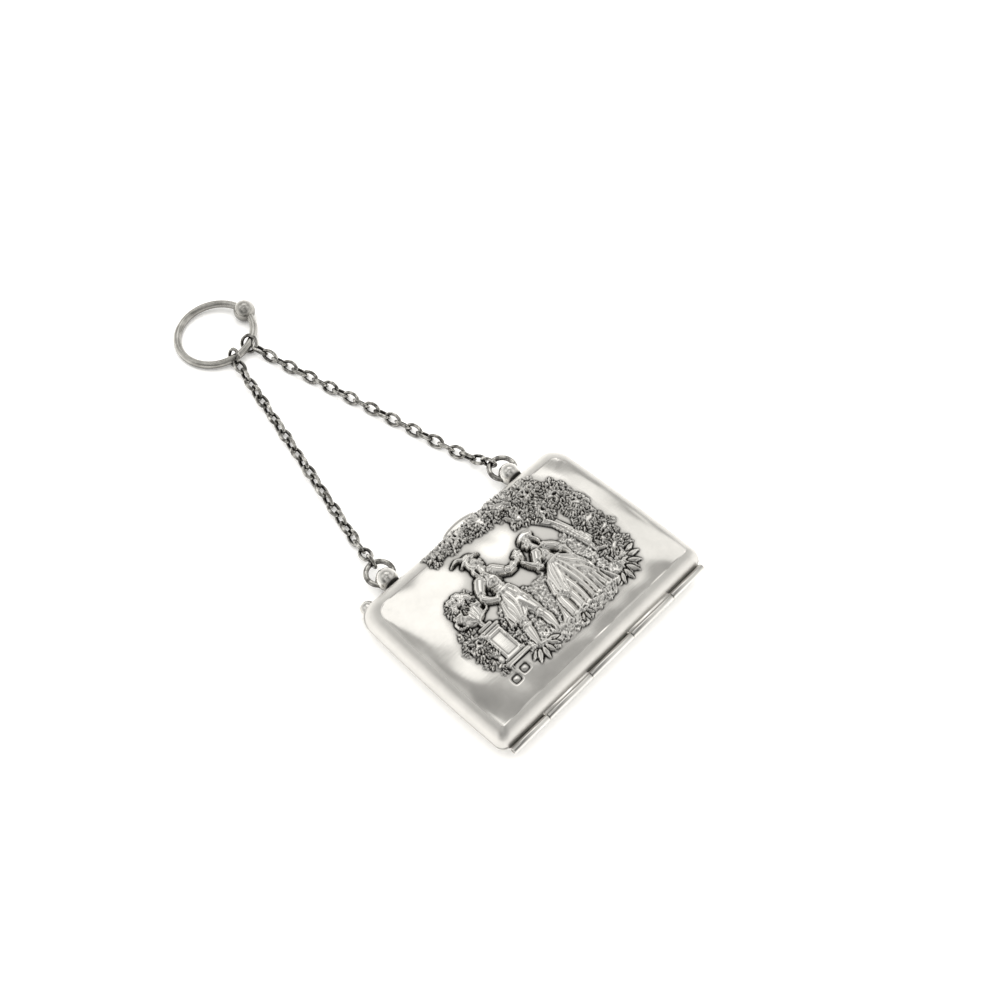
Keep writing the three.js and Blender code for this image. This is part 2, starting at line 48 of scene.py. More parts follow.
def pick(*pieces):  # the last one named is the active one
    clearSelection()
    for piece in pieces:
        piece.select_set(True)
    bpy.context.view_layer.objects.active = pieces[-1]


def editMode(piece, kind="FACE"):
    pick(piece)
    bpy.ops.object.mode_set(mode="EDIT")
    bpy.ops.mesh.select_mode(type=kind)


def objectMode():
    bpy.ops.object.mode_set(mode="OBJECT")


def choose(piece, kind, test):  # of a mesh's faces or corners, only those that pass the test
    editMode(piece, kind)
    bpy.ops.mesh.select_all(action="DESELECT")
    objectMode()
    for part in {"FACE": piece.data.polygons, "VERT": piece.data.vertices}[kind]:
        part.select = test(part)
    editMode(piece, kind)


def applyModifier(piece, kind, **settings):
    pick(piece)
    modifier = piece.modifiers.new(kind, kind)
    for name, value in settings.items():
        setattr(modifier, name, value)
    bpy.ops.object.modifier_apply(modifier=modifier.name)


def boolean(piece, tool, operation):
    applyModifier(piece, "BOOLEAN", operation=operation, solver="EXACT", object=tool)
    bpy.data.objects.remove(tool, do_unlink=True)


def softenEdges(piece, width, angle):  # a small bevel on edges sharper than the angle
    applyModifier(piece, "BEVEL", width=width, segments=2, limit_method="ANGLE",
                  angle_limit=math.radians(angle))


def cleanMesh(piece, merge=0.001):
    editMode(piece, "VERT")
    bpy.ops.mesh.select_all(action="SELECT")
    bpy.ops.mesh.remove_doubles(threshold=merge)
    bpy.ops.mesh.normals_make_consistent(inside=False)
    objectMode()


def placed(piece, name):  # a primitive's place, turn and scale go into its mesh
    pick(piece)
    bpy.ops.object.transform_apply(location=True, rotation=True, scale=True)
    piece.name = name
    piece.data.name = name
    return piece


def primitive(name, add, scale=(1, 1, 1), **settings):
    clearSelection()
    add(**settings)
    bpy.context.object.scale = scale
    return placed(bpy.context.object, name)


def copyOf(piece, name, matrix):
    twin = piece.copy()
    twin.data = piece.data.copy()
    twin.name = name
    twin.data.name = name
    bpy.context.collection.objects.link(twin)
    twin.data.transform(matrix)
    return twin


def joined(pieces, name):  # many copies become one mesh
    pick(*pieces)
    bpy.ops.object.join()
    whole = bpy.context.view_layer.objects.active
    whole.name = name
    whole.data.name = name
    return whole


def turned(name, profile, steps, axis="Z"):  # profile of (radius, height) points spun about an axis
    piece = primitive(name, bpy.ops.mesh.primitive_plane_add, size=1)
    editMode(piece, "VERT")
    bpy.ops.mesh.select_all(action="SELECT")
    bpy.ops.mesh.merge(type="CENTER")
    radius, height = profile[0]
    bpy.ops.transform.translate(value=(radius, 0, height))
    for (r0, h0), (r1, h1) in zip(profile, profile[1:]):
        bpy.ops.mesh.extrude_region_move(TRANSFORM_OT_translate={"value": (r1 - r0, 0, h1 - h0)})
    bpy.ops.mesh.select_all(action="SELECT")
    bpy.ops.mesh.spin(steps=steps, angle=2 * math.pi, center=(0, 0, 0), axis=(0, 0, 1))
    objectMode()
    cleanMesh(piece)
    if axis == "Y":
        piece.data.transform(Matrix.Rotation(-math.pi / 2, 4, "X"))
    if axis == "X":
        piece.data.transform(Matrix.Rotation(math.pi / 2, 4, "Y"))
    return piece


def settle(piece, material, body, nodes=(), sharpAt=35):  # to metres, then onto its body
    pick(piece)
    piece.data.transform(Matrix.Scale(mm, 4))
    bpy.ops.object.shade_smooth_by_angle(angle=math.radians(sharpAt))
    piece.data.materials.clear()
    piece.data.materials.append(material)
    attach(piece, body)
    if nodes:
        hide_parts(*nodes)
    print("settled", piece.name, len(piece.data.polygons), "faces")


# Camera, at the photograph's viewing angle
camera = {
    "eye": (-140.189, -123.496, 327.869), "target": (18.008, 28.308, 0.0),
    "lens": 50.4, "sensor": 36.0, "nearest": 10.0,
}


def addCamera():
    eye = Vector(camera["eye"]) * mm
    look = Vector(camera["target"]) * mm - eye
    clearSelection()
    bpy.ops.object.camera_add(location=eye, rotation=look.to_track_quat("-Z", "Y").to_euler())
    view = bpy.context.object
    view.data.lens = camera["lens"]
    view.data.sensor_width = camera["sensor"]
    view.data.clip_start = camera["nearest"] * mm
    bpy.context.scene.camera = view


def linear(hexColour):  # sRGB hex to linear RGBA
    parts = [int(hexColour[i:i + 2], 16) / 255 for i in (1, 3, 5)]
    return [p / 12.92 if p <= 0.04045 else ((p + 0.055) / 1.055) ** 2.4 for p in parts] + [1.0]


def addNode(tree, kind, settings={}, values={}, links={}):  # one node with its settings, sockets and links
    node = tree.nodes.new(kind)
    for name, value in settings.items():
        setattr(node, name, value)
    for name, value in values.items():
        node.inputs[name].default_value = value
    for name, source in links.items():
        tree.links.new(source, node.inputs[name])
    return node


def setRamp(node, stops):  # stops of (place, hex colour)
    ramp = node.color_ramp
    while len(ramp.elements) > 1:
        ramp.elements.remove(ramp.elements[-1])
    for k, (place, hexColour) in enumerate(stops):
        stop = ramp.elements[0] if k == 0 else ramp.elements.new(place)
        stop.position = place
        stop.color = linear(hexColour)


def newMaterial(name):
    material = bpy.data.materials.new(name)
    material.use_nodes = True
    tree = material.node_tree
    tree.nodes.clear()
    output = addNode(tree, "ShaderNodeOutputMaterial")
    return material, tree, output


# A white light table inside a pale tent, with broad lamps behind the cloth for the metal to mirror
studio = {
    "floorReach": 3000.0, "floorDrop": 0.02, "tint": "#fffefb", "backlight": 0.16,
    "sheetPatch": 120.0, "sheetTones": [(0.3, "#f7f6f4"), (0.7, "#fbfaf8")], "sheetRough": 0.9,
    "sheetGloss": 0.2,
    "tent": (0.62, 0.48),  # brightness of the cloth at its foot and overhead
    "horizon": (0.26, 0.55, 0.4),  # where the tent's bright foot ends and is gone, and its gain
    # azimuth from +Y towards +X, elevation, angles from its middle where a lamp is full and gone, gain
    "lamps": [
        (31.0, 57.4, 9.5, 13.5, 0.9), (64.0, 54.0, 9.0, 14.0, 0.66),  # mirrored by the face
        (-58.0, 38.0, 14.0, 42.0, 0.22), (146.0, 38.0, 14.0, 42.0, 0.2),  # mirrored by the border
        (-33.0, 60.0, 9.0, 20.0, 0.34), (126.0, 58.0, 9.0, 20.0, 0.28),
        (226.0, 84.0, 7.0, 14.0, 0.75), (258.0, 63.0, 7.0, 14.0, 0.7),  # mirrored by the balls
        (217.0, 50.0, 12.0, 24.0, 0.46), (226.0, 45.0, 22.0, 66.0, -0.44),  # camera's side, dark round it
    ],
    "overhead": (1500.0, 1800.0, 2.5),  # height, width and brightness of a light for the floor alone
}


def towards(azimuth, elevation):
    a, e = math.radians(azimuth), math.radians(elevation)
    return Vector((math.sin(a) * math.cos(e), math.cos(a) * math.cos(e), math.sin(e)))


def addFloor():
    clearSelection()
    bpy.ops.mesh.primitive_plane_add(size=studio["floorReach"] * mm,
                                     location=(0, 0, -studio["floorDrop"] * mm))
    floor = bpy.context.object
    floor.name = "tableFloor"
    # A light table's sheet: no gloss, a faint unevenness, and shadows that stay pale.
    opal, tree, output = newMaterial("opal acrylic, matt and lit from below")
    place = addNode(tree, "ShaderNodeTexCoord")
    cloud = addNode(tree, "ShaderNodeTexNoise", {}, {"Scale": 1 / (studio["sheetPatch"] * mm), "Detail": 2.0},
                    {"Vector": place.outputs["Object"]})
    tint = addNode(tree, "ShaderNodeValToRGB", {}, {}, {"Fac": cloud.outputs["Fac"]})
    setRamp(tint, studio["sheetTones"])
    sheet = addNode(tree, "ShaderNodeBsdfPrincipled", {},
                    {"Roughness": studio["sheetRough"], "Specular IOR Level": studio["sheetGloss"],
                     "Emission Color": linear(studio["tint"]), "Emission Strength": studio["backlight"]},
                    {"Base Color": tint.outputs["Color"]})
    tree.links.new(sheet.outputs["BSDF"], output.inputs["Surface"])
    floor.data.materials.append(opal)


def addTent():
    world = bpy.data.worlds.new("studioWorld")
    bpy.context.scene.world = world
    world.use_nodes = True
    tree = world.node_tree
    tree.nodes.clear()
    place = addNode(tree, "ShaderNodeTexCoord")
    split = addNode(tree, "ShaderNodeSeparateXYZ", {}, {}, {"Vector": place.outputs["Generated"]})
    low, high = studio["tent"]
    cloth = addNode(tree, "ShaderNodeMapRange", {}, {"To Min": low, "To Max": high},
                    {"Value": split.outputs["Z"]})
    full, gone, gain = studio["horizon"]
    foot = addNode(tree, "ShaderNodeMapRange", {"interpolation_type": "SMOOTHSTEP"},
                   {"From Min": full, "From Max": gone, "To Min": gain, "To Max": 0.0},
                   {"Value": split.outputs["Z"]})
    sweep = addNode(tree, "ShaderNodeMath", {"operation": "ADD"}, {},
                    {0: cloth.outputs["Result"], 1: foot.outputs["Result"]})
    total = sweep.outputs["Value"]
    for azimuth, elevation, full, gone, gain in studio["lamps"]:
        near = addNode(tree, "ShaderNodeVectorMath", {"operation": "DOT_PRODUCT"},
                       {1: towards(azimuth, elevation)}, {0: place.outputs["Generated"]})
        lamp = addNode(tree, "ShaderNodeMapRange", {"interpolation_type": "SMOOTHSTEP"},
                       {"From Min": math.cos(math.radians(gone)), "From Max": math.cos(math.radians(full)),
                        "To Min": 0.0, "To Max": gain}, {"Value": near.outputs["Value"]})
        both = addNode(tree, "ShaderNodeMath", {"operation": "ADD"}, {},
                       {0: total, 1: lamp.outputs["Result"]})
        total = both.outputs["Value"]
    glow = addNode(tree, "ShaderNodeBackground", {}, {"Color": linear(studio["tint"])}, {"Strength": total})
    addNode(tree, "ShaderNodeOutputWorld", {}, {}, {"Surface": glow.outputs["Background"]})


def addOverhead():  # the metal doesn't mirror it
    height, width, brightness = studio["overhead"]
    clearSelection()
    bpy.ops.object.light_add(type="AREA", location=(0, 0, height * mm))
    overhead = bpy.context.object
    overhead.name = "overhead"
    overhead.data.shape = "SQUARE"
    overhead.data.size = width * mm
    overhead.data.energy = brightness * math.pi * (width * mm) ** 2
    overhead.visible_glossy = False


addCamera()
addFloor()
addTent()
addOverhead()
bpy.context.scene.view_settings.view_transform = "Standard"
bpy.context.scene.view_settings.look = "None"
print("camera, floor and lights set")


# Sterling silver sheet, die-pressed, polished and then rubbed by hands for years: a soft mirror with
# cloudy patches and hairlines, a satin border where it is held, and dark oxide in the hollows. The same
# dark is also painted shade: in the hollows, on the studs' feet and on their undersides.
# Real hairlines are a few hundredths of a millimetre, drawn here at 0.25 mm so that they show.
sheetFinish = {
    "patch": 9.0, "patchTones": ("#c9c7c3", "#f0eeea"), "patchRough": (0.07, 0.17),
    "hair": 3.5, "hairStretch": 14.0, "hairTurn": 0.6, "hairStrength": 0.2, "hairDepth": 0.03,
    "oxide": "#1f1d1b", "oxideRough": 0.3, "wearRough": 0.27,
}


def sterlingSilver():
    material, tree, output = newMaterial("sterling silver, pressed and hand polished")
    place = addNode(tree, "ShaderNodeTexCoord")
    cloud = addNode(tree, "ShaderNodeTexNoise", {},
                    {"Scale": 1 / (sheetFinish["patch"] * mm), "Detail": 7.0, "Roughness": 0.68},
                    {"Vector": place.outputs["Object"]})
    turn, longer = sheetFinish["hairTurn"], sheetFinish["hairStretch"]
    stretch = addNode(tree, "ShaderNodeMapping", {}, {"Rotation": (0, 0, turn), "Scale": (1, longer, 1)},
                      {"Vector": place.outputs["Object"]})
    hairs = addNode(tree, "ShaderNodeTexNoise", {}, {"Scale": 1 / (sheetFinish["hair"] * mm), "Detail": 2.0},
                    {"Vector": stretch.outputs["Vector"]})
    grey, pale = (linear(tone) for tone in sheetFinish["patchTones"])
    tone = addNode(tree, "ShaderNodeMix", {"data_type": "RGBA"}, {6: grey, 7: pale},
                   {0: cloud.outputs["Fac"]})
    # the mix towards the dark colour is oxide and painted shade together: shade in the relief's hollows, on
    # the studs' feet and undersides
    oxide = addNode(tree, "ShaderNodeAttribute", {"attribute_name": "oxide"})
    dark = addNode(tree, "ShaderNodeMix", {"data_type": "RGBA"}, {7: linear(sheetFinish["oxide"])},
                   {0: oxide.outputs["Fac"], 6: tone.outputs[2]})
    least, most = sheetFinish["patchRough"]
    rough = addNode(tree, "ShaderNodeMapRange", {}, {"To Min": least, "To Max": most},
                    {"Value": cloud.outputs["Fac"]})
    wear = addNode(tree, "ShaderNodeAttribute", {"attribute_name": "wear"})
    satin = addNode(tree, "ShaderNodeMath", {"operation": "MULTIPLY_ADD"}, {1: sheetFinish["wearRough"]},
                    {0: wear.outputs["Fac"], 2: rough.outputs["Result"]})
    dull = addNode(tree, "ShaderNodeMath", {"operation": "MULTIPLY_ADD"}, {1: sheetFinish["oxideRough"]},
                   {0: oxide.outputs["Fac"], 2: satin.outputs["Value"]})
    bump = addNode(tree, "ShaderNodeBump", {},
                   {"Strength": sheetFinish["hairStrength"], "Distance": sheetFinish["hairDepth"] * mm},
                   {"Height": hairs.outputs["Fac"]})
    metal = addNode(tree, "ShaderNodeBsdfPrincipled", {}, {"Metallic": 1.0},
                    {"Base Color": dark.outputs[2], "Roughness": dull.outputs["Value"],
                     "Normal": bump.outputs["Normal"]})
    tree.links.new(metal.outputs["BSDF"], output.inputs["Surface"])
    return material


# Silver wire bent into links: worn pale on the outside, black oxide and painted shade on the inner sides,
# and painted shade underneath.
linkFinish = {
    "blotch": 1.6, "tones": [(0.38, "#6b6965"), (0.6, "#d2d0cb")], "oxide": "#1d1b1a", "rough": (0.16, 0.08),
}
# Thick drawn silver wire, worn to a satin: soft blotches of grey that are a little duller where pale.
# Its dark colour is painted shade on the finger ring's underside.
ringFinish = {
    "blotch": 2.5, "tones": [(0.3, "#aaa8a3"), (0.65, "#cac8c3")], "oxide": "#3a3835", "rough": (0.2, 0.28),
}


def silverWire(name, finish):
    material, tree, output = newMaterial(name)
    place = addNode(tree, "ShaderNodeTexCoord")
    blotch = addNode(tree, "ShaderNodeTexNoise", {}, {"Scale": 1 / (finish["blotch"] * mm), "Detail": 3.0},
                     {"Vector": place.outputs["Object"]})
    tone = addNode(tree, "ShaderNodeValToRGB", {}, {}, {"Fac": blotch.outputs["Fac"]})
    setRamp(tone, finish["tones"])
    # the mix towards the dark colour is painted shade underneath, with oxide and painted shade on the links'
    # inner sides
    oxide = addNode(tree, "ShaderNodeAttribute", {"attribute_name": "oxide"})
    dark = addNode(tree, "ShaderNodeMix", {"data_type": "RGBA"}, {7: linear(finish["oxide"])},
                   {0: oxide.outputs["Fac"], 6: tone.outputs["Color"]})
    atDark, atPale = finish["rough"]
    rough = addNode(tree, "ShaderNodeMapRange", {}, {"To Min": atDark, "To Max": atPale},
                    {"Value": blotch.outputs["Fac"]})
    metal = addNode(tree, "ShaderNodeBsdfPrincipled", {}, {"Metallic": 1.0},
                    {"Base Color": dark.outputs[2], "Roughness": rough.outputs["Result"]})
    tree.links.new(metal.outputs["BSDF"], output.inputs["Surface"])
    return material


brightSilver = sterlingSilver()
darkWire = silverWire("silver wire, tarnished", linkFinish)
ringWire = silverWire("silver wire, drawn and satin worn", ringFinish)
print("materials made")


# The garden scene, worked up as a field of heights over the face: a couple, a tree, an urn, a hedge and turf.
# Its places u, v and sizes are in the scene's own units, of which scale is the size in millimetres.
garden = {
    "scale": 1.18, "middleX": 0.5, "middleY": -1.1, "left": -28.4, "right": 29.4, "step": 0.22,
    "edge": 1.0, "seed": 11, "soften": 0.5, "deepest": -0.25,
    # how far round a point its hollowness is judged, in millimetres, the depth that is full dark, its share;
    # the hollows' dark is oxide and painted shade together
    "hollows": [(0.3, 0.09, 1.0), (0.7, 0.36, 0.42)], "tall": 0.9,
    # matted ground: least height of a form, reach round it, share of cover at the start, its span, height
    "matt": {"form": 0.1, "reach": 3.0, "start": 0.2, "span": 0.25, "height": 0.3},
}


def gardenField(xs, ys):
    x, y = np.meshgrid(xs, ys)
    scale = garden["scale"]
    return {
        "x": x, "y": y, "stepU": (xs[1] - xs[0]) / scale, "stepV": (ys[1] - ys[0]) / scale,
        "u": (x - garden["middleX"]) / scale, "v": (y - garden["middleY"]) / scale, "h": np.zeros_like(x),
    }


def curveThrough(points, steps):  # a smooth run through a few rows of numbers
    p = np.array(points, float)
    out = []
    for t in np.linspace(0, len(p) - 1, steps):
        i = min(int(t), len(p) - 2)
        f = t - i
        p0, p1, p2, p3 = p[max(i - 1, 0)], p[i], p[i + 1], p[min(i + 2, len(p) - 1)]
        out.append(0.5 * (2 * p1 + (p2 - p0) * f + (2 * p0 - 5 * p1 + 4 * p2 - p3) * f ** 2
                          + (3 * p1 - p0 - 3 * p2 + p3) * f ** 3))
    return out


# How forms are worked: a share is 0 in the middle of a form and 1 at its edge
work = {
    "round": 0.6,  # power of a raised form's rounding
    "meltTop": 1.12, "meltFloor": -0.8, "meltReach": 1.5,  # an oval that runs into what is there
    "limbGroove": 0.28, "limbCut": 0.5, "limbRise": 0.72, "limbBase": 0.4, "limbRound": 0.7,
}


def barShare(field, start, end):  # a tapered bar, each end (u, v, radius)
    (u0, v0, r0), (u1, v1, r1) = start, end
    du, dv = u1 - u0, v1 - v0
    along = ((field["u"] - u0) * du + (field["v"] - v0) * dv) / max(du * du + dv * dv, 1e-9)
    along = np.clip(along, 0, 1)
    away = np.hypot(field["u"] - u0 - along * du, field["v"] - v0 - along * dv)
    return away / (r0 + (r1 - r0) * along)


def ovalShare(field, u0, v0, across, along, turn=0.0):
    c, s = math.cos(math.radians(turn)), math.sin(math.radians(turn))
    du, dv = field["u"] - u0, field["v"] - v0
    return np.hypot((du * c + dv * s) / across, (dv * c - du * s) / along)


def raiseForm(field, share, height, base=0.0, power=work["round"]):
    crown = np.clip(1 - share ** 2, 0, 1) ** power
    np.maximum(field["h"], np.where(share < 1, base + height * crown, 0), out=field["h"])


def pressForm(field, share, depth):
    field["h"] -= np.where(share < 1, depth * (1 - share ** 2), 0)


def meltForm(field, share, height, soft):  # raised, and run softly into what is there already
    form = np.maximum(height * (work["meltTop"] - share ** 2), work["meltFloor"])
    h = field["h"]
    melted = 0.5 * (h + form + np.sqrt((h - form) ** 2 + soft ** 2))
    field["h"] = np.where(share < work["meltReach"], melted, h)


def toolOf(shareOf, act):  # a tool takes the field, a list of shapes and its own sizes
    def tool(field, shapes, *sizes):
        for shape in shapes:
            act(field, shareOf(field, *shape), *sizes)
    return tool


pad, swell, dint = toolOf(ovalShare, raiseForm), toolOf(ovalShare, meltForm), toolOf(ovalShare, pressForm)
bar, groove = toolOf(barShare, raiseForm), toolOf(barShare, pressForm)


def ridge(field, runs, height, base, steps):  # bars from point to point of smooth runs
    for points in runs:
        curve = curveThrough(points, steps)
        bar(field, zip(curve, curve[1:]), height, base)


def limb(field, points, height):  # an arm or a leg: laid over what is there, with a groove cut round it
    curve = curveThrough(points, 5 * len(points))
    share = np.full_like(field["h"], 9.0)
    for start, end in zip(curve, curve[1:]):
        share = np.minimum(share, barShare(field, start, end))
    cut = np.clip((1 + work["limbGroove"] - share) / work["limbGroove"], 0, 1)
    field["h"] = np.where(share < 1, field["h"], field["h"] * (1 - work["limbCut"] * cut))
    raiseForm(field, share, height * work["limbRise"], height * work["limbBase"], work["limbRound"])


cloth = {
    "edge": 0.16, "opening": 0.35,  # height of the cloth's edge, share of a fold's depth at the top
    "wander": (2.6, 4.0),  # how folds sway down the cloth and across it
    "crest": 0.75, "broad": (0.43, 0.8), "round": (3, 0.6),
    "line": (0.4, 0.3, 0.3),  # the sharp lines between folds: depth, share of it at the top, width
    "hem": 0.45,
}


def drape(field, sides, height, folds, depth, sway, phase):
    # Cloth hanging between two edges, each a run of (u, v) from the top down. Its folds open to the hem.
    u, v = field["u"], field["v"]
    edges = []
    for side in sides:
        line = np.array(curveThrough(side, 24))[::-1]
        edges.append(np.interp(v, line[:, 1], line[:, 0]))
    high, low = sides[0][0][1], sides[0][-1][1]
    share = (u - edges[0]) / np.maximum(edges[1] - edges[0], 1e-3)
    fall = np.clip((high - v) / (high - low), 0, 1)
    down, aside = cloth["wander"]
    turn = folds * math.pi * (share + sway * np.sin(down * fall + aside * share + phase)) + phase
    crest = np.abs(np.sin(turn)) ** cloth["crest"]
    slower, power = cloth["broad"]
    broad = np.abs(np.sin(slower * turn + phase)) ** power
    flat, power = cloth["round"]
    belly = np.clip(1 - np.abs(2 * share - 1) ** flat, 0, 1) ** power
    form = cloth["edge"] + height * belly
    form = form + depth * (cloth["opening"] + (1 - cloth["opening"]) * fall) * (crest - 0.5)
    form = form + depth * fall * (broad - 0.5)
    deep, atTop, width = cloth["line"]
    form -= deep * (atTop + (1 - atTop) * fall) * np.clip((width - crest) / width, 0, 1)
    inside = (share > 0) & (share < 1) & (v < high) & (v > low + cloth["hem"] * crest)
    np.maximum(field["h"], np.where(inside, form, 0), out=field["h"])


def inBox(field, middle, half, low, high):
    return (np.abs(field["u"] - middle) < half) & (field["v"] < high) & (field["v"] > low)


def slab(field, box, height):
    np.maximum(field["h"], np.where(inBox(field, *box), height, 0), out=field["h"])


def sunkPanel(field, box, height):
    field["h"] = np.where(inBox(field, *box), height, field["h"])


def windowOf(field, u0, v0, reach):  # the part of the grid that a small stamp can touch
    col = int(round((u0 - field["u"][0, 0]) / field["stepU"]))
    row = int(round((v0 - field["v"][0, 0]) / field["stepV"]))
    n = int(math.ceil(reach / min(field["stepU"], field["stepV"]))) + 1
    return slice(max(row - n, 0), max(row + n + 1, 0)), slice(max(col - n, 0), max(col + n + 1, 0))


def alongStalk(field, u0, v0, length, turn, reach):  # heights, place along it, distance aside
    window = windowOf(field, u0, v0, reach)
    du, dv = field["u"][window] - u0, field["v"][window] - v0
    c, s = math.cos(turn), math.sin(turn)
    return field["h"][window], (du * c + dv * s) / length, np.abs(dv * c - du * s)


leafForm = {"belly": 0.8, "reach": 1.3, "past": 0.1, "groove": 0.4, "blade": 0.6}


def stampLeaf(field, u0, v0, length, width, turn, rise, base, tip=0.0, gap=0.0):
    heights, a, b = alongStalk(field, u0, v0, length, turn, length * leafForm["reach"])
    half = width / 2 * np.sin(np.pi * np.clip(a, 0, 1) ** leafForm["belly"])
    share = np.where((a > 0) & (a < 1), b / np.maximum(half, 1e-6), 9.0)
    form = base + rise * np.sqrt(np.clip(1 - share ** 2, 0, 1)) - tip * a
    if not gap:
        np.maximum(heights, np.where(share < 1, form, 0), out=heights)
        return
    past = leafForm["past"]  # laid over what is there, with a groove cut round it
    wide = width / 2 * np.sin(np.pi * np.clip((a + past) / (1 + 2 * past), 0, 1) ** leafForm["belly"]) + gap
    around = (a > -past) & (a < 1 + past) & (b < wide)
    sunk = np.where(around, np.minimum(heights, base - leafForm["groove"]), heights)
    heights[...] = np.where(share < 1, form, sunk)


def stampBlade(field, u0, v0, length, width, turn, rise, base):
    heights, a, b = alongStalk(field, u0, v0, length, turn, length)
    half = width / 2 * np.clip(1 - a, 0, 1) ** leafForm["blade"]
    share = np.where((a > 0) & (a < 1), b / np.maximum(half, 1e-6), 2.0)
    np.maximum(heights, np.where(share < 1, base + rise * (1 - share ** 2), 0), out=heights)


def stampBead(field, u0, v0, radius, rise, base):
    window = windowOf(field, u0, v0, radius)
    away = np.hypot(field["u"][window] - u0, field["v"][window] - v0) / radius
    dome = base + rise * np.sqrt(np.clip(1 - away ** 2, 0, 1))
    np.maximum(field["h"][window], np.where(away < 1, dome, 0), out=field["h"][window])


def beads(field, places, radius, rise, base):
    for u, v in places:
        stampBead(field, u, v, radius, rise, base)


def leaves(field, rows, rise, base, tip):  # rows of u, v, length, width and turn
    for u, v, length, width, turn in rows:
        stampLeaf(field, u, v, length, width, math.radians(turn), rise, base, tip)


def workForms(field, forms):  # in order, because some melt into, press or cut what is there already
    for tool, shapes, *sizes in forms.values():
        tool(field, shapes, *sizes)


# The clipped hedge behind the couple, all small close leaves
hedge = {
    "foot": -12.2, "highest": 4.0, "height": 0.2, "slope": 0.8,
    "top": [(-13.6, -12.0), (-13.2, -3.0), (-11.6, 0.2), (-9.0, 1.4), (-4.6, 0.9), (-2.2, -0.6), (0.4, -0.2),
            (2.6, 1.0), (8.8, 1.6), (10.6, 3.0), (12.6, 3.8), (14.6, 2.6)],
    "tufts": 3000, "ragged": (-0.5, 0.3), "tuftRadius": (0.24, 0.34), "tuftRise": (0.15, 0.5),
    "tuftBase": 0.05,
}


def clippedHedge(field, rng):
    topU, topV = np.array(hedge["top"]).T
    top = np.interp(field["u"], topU, topV)
    inside = (field["u"] > topU[0]) & (field["u"] < topU[-1]) & (field["v"] > hedge["foot"])
    mound = hedge["height"] * np.clip((top - field["v"]) / hedge["slope"], 0, 1)
    np.maximum(field["h"], np.where(inside, mound, 0), out=field["h"])
    for k in range(hedge["tufts"]):
        u = rng.uniform(topU[0], topU[-1])
        v = rng.uniform(hedge["foot"], hedge["highest"])
        if v < np.interp(u, topU, topV) + rng.uniform(*hedge["ragged"]):
            radius, rise = rng.uniform(*hedge["tuftRadius"]), rng.uniform(*hedge["tuftRise"])
            stampBead(field, u, v, radius, rise, hedge["tuftBase"])


foliage = {
    # u, v, across, along, height of each mass of leaves
    "bushes": [
        (18.8, -6.5, 3.4, 3.6, 0.75), (20.8, -1.8, 2.6, 2.8, 0.65), (-20.8, -2.6, 2.6, 4.2, 0.75),
        (-12.6, -6.4, 1.8, 3.8, 0.5), (-20.4, -8.2, 2.2, 2.6, 0.6),
    ],
    "canopy": [
        (20.0, 2.4, 3.2, 3.2, 0.75), (21.0, 7.4, 3.3, 3.4, 0.85), (19.2, 12.6, 3.9, 3.7, 0.95),
        (15.0, 17.4, 4.4, 3.8, 1.1), (14.6, 11.2, 3.0, 2.7, 0.9), (8.4, 19.4, 4.4, 3.5, 1.05),
        (9.6, 14.2, 3.2, 2.5, 0.9), (1.8, 20.4, 4.2, 3.2, 0.95), (-4.8, 20.6, 3.8, 2.9, 0.85),
        (-10.4, 20.4, 3.0, 2.2, 0.7),
    ],
    "crowding": 0.6, "mound": (0.95, 0.55),  # share of the mass's size and of its height
    "pits": 0.3, "pit": (0.7, 0.5), "pitDepth": 0.5,  # dark gaps between sprays
    "winding": 2.4, "rise": (0.15, 0.75), "uneven": (-0.15, 0.2),  # sprays wind out from the middle
    "leafLength": (1.25, 1.8), "leafWidth": (0.5, 0.66), "leafRise": (0.25, 0.42), "leafTip": (-0.15, 0.4),
    "fan": 0.6, "overlap": 0.04, "shorter": 0.12, "gap": 0.2,
}


def leafMass(field, rng, u0, v0, across, along, height, crowding):
    wide, tall = foliage["mound"]
    pad(field, [(u0, v0, across * wide, along * wide)], height * tall)
    area = across * along * math.pi
    for r in rng.random(int(area * foliage["pits"])):
        out, angle = math.sqrt(r), rng.uniform(0, 2 * math.pi)
        u, v = u0 + across * out * math.cos(angle), v0 + along * out * math.sin(angle)
        dint(field, [(u, v, *foliage["pit"], rng.uniform(0, 180))], foliage["pitDepth"])
    np.maximum(field["h"], 0, out=field["h"])
    sprays = int(area * crowding)
    low, rise = foliage["rise"]
    for k in range(sprays, 0, -1):  # edge first
        out = math.sqrt((k - 0.4) / sprays) + rng.normal(0, 0.03)
        angle = foliage["winding"] * k + rng.normal(0, 0.2)
        u, v = u0 + across * out * math.cos(angle), v0 + along * out * math.sin(angle)
        base = low + rise * height * math.sqrt(max(1 - out * out, 0.0)) + rng.uniform(*foliage["uneven"])
        turn = angle + rng.normal(0, 0.45)
        for leaf in (-2, 2, -1, 1, 0):  # a spray of five leaves, the middle one on top
            length = rng.uniform(*foliage["leafLength"]) * (1 - foliage["shorter"] * abs(leaf))
            width = rng.uniform(*foliage["leafWidth"])
            way = turn + foliage["fan"] * leaf + rng.normal(0, 0.12)
            above = base + foliage["overlap"] * (2 - abs(leaf))
            stampLeaf(field, u, v, length, width, way, rng.uniform(*foliage["leafRise"]), above,
                      rng.uniform(*foliage["leafTip"]), foliage["gap"])


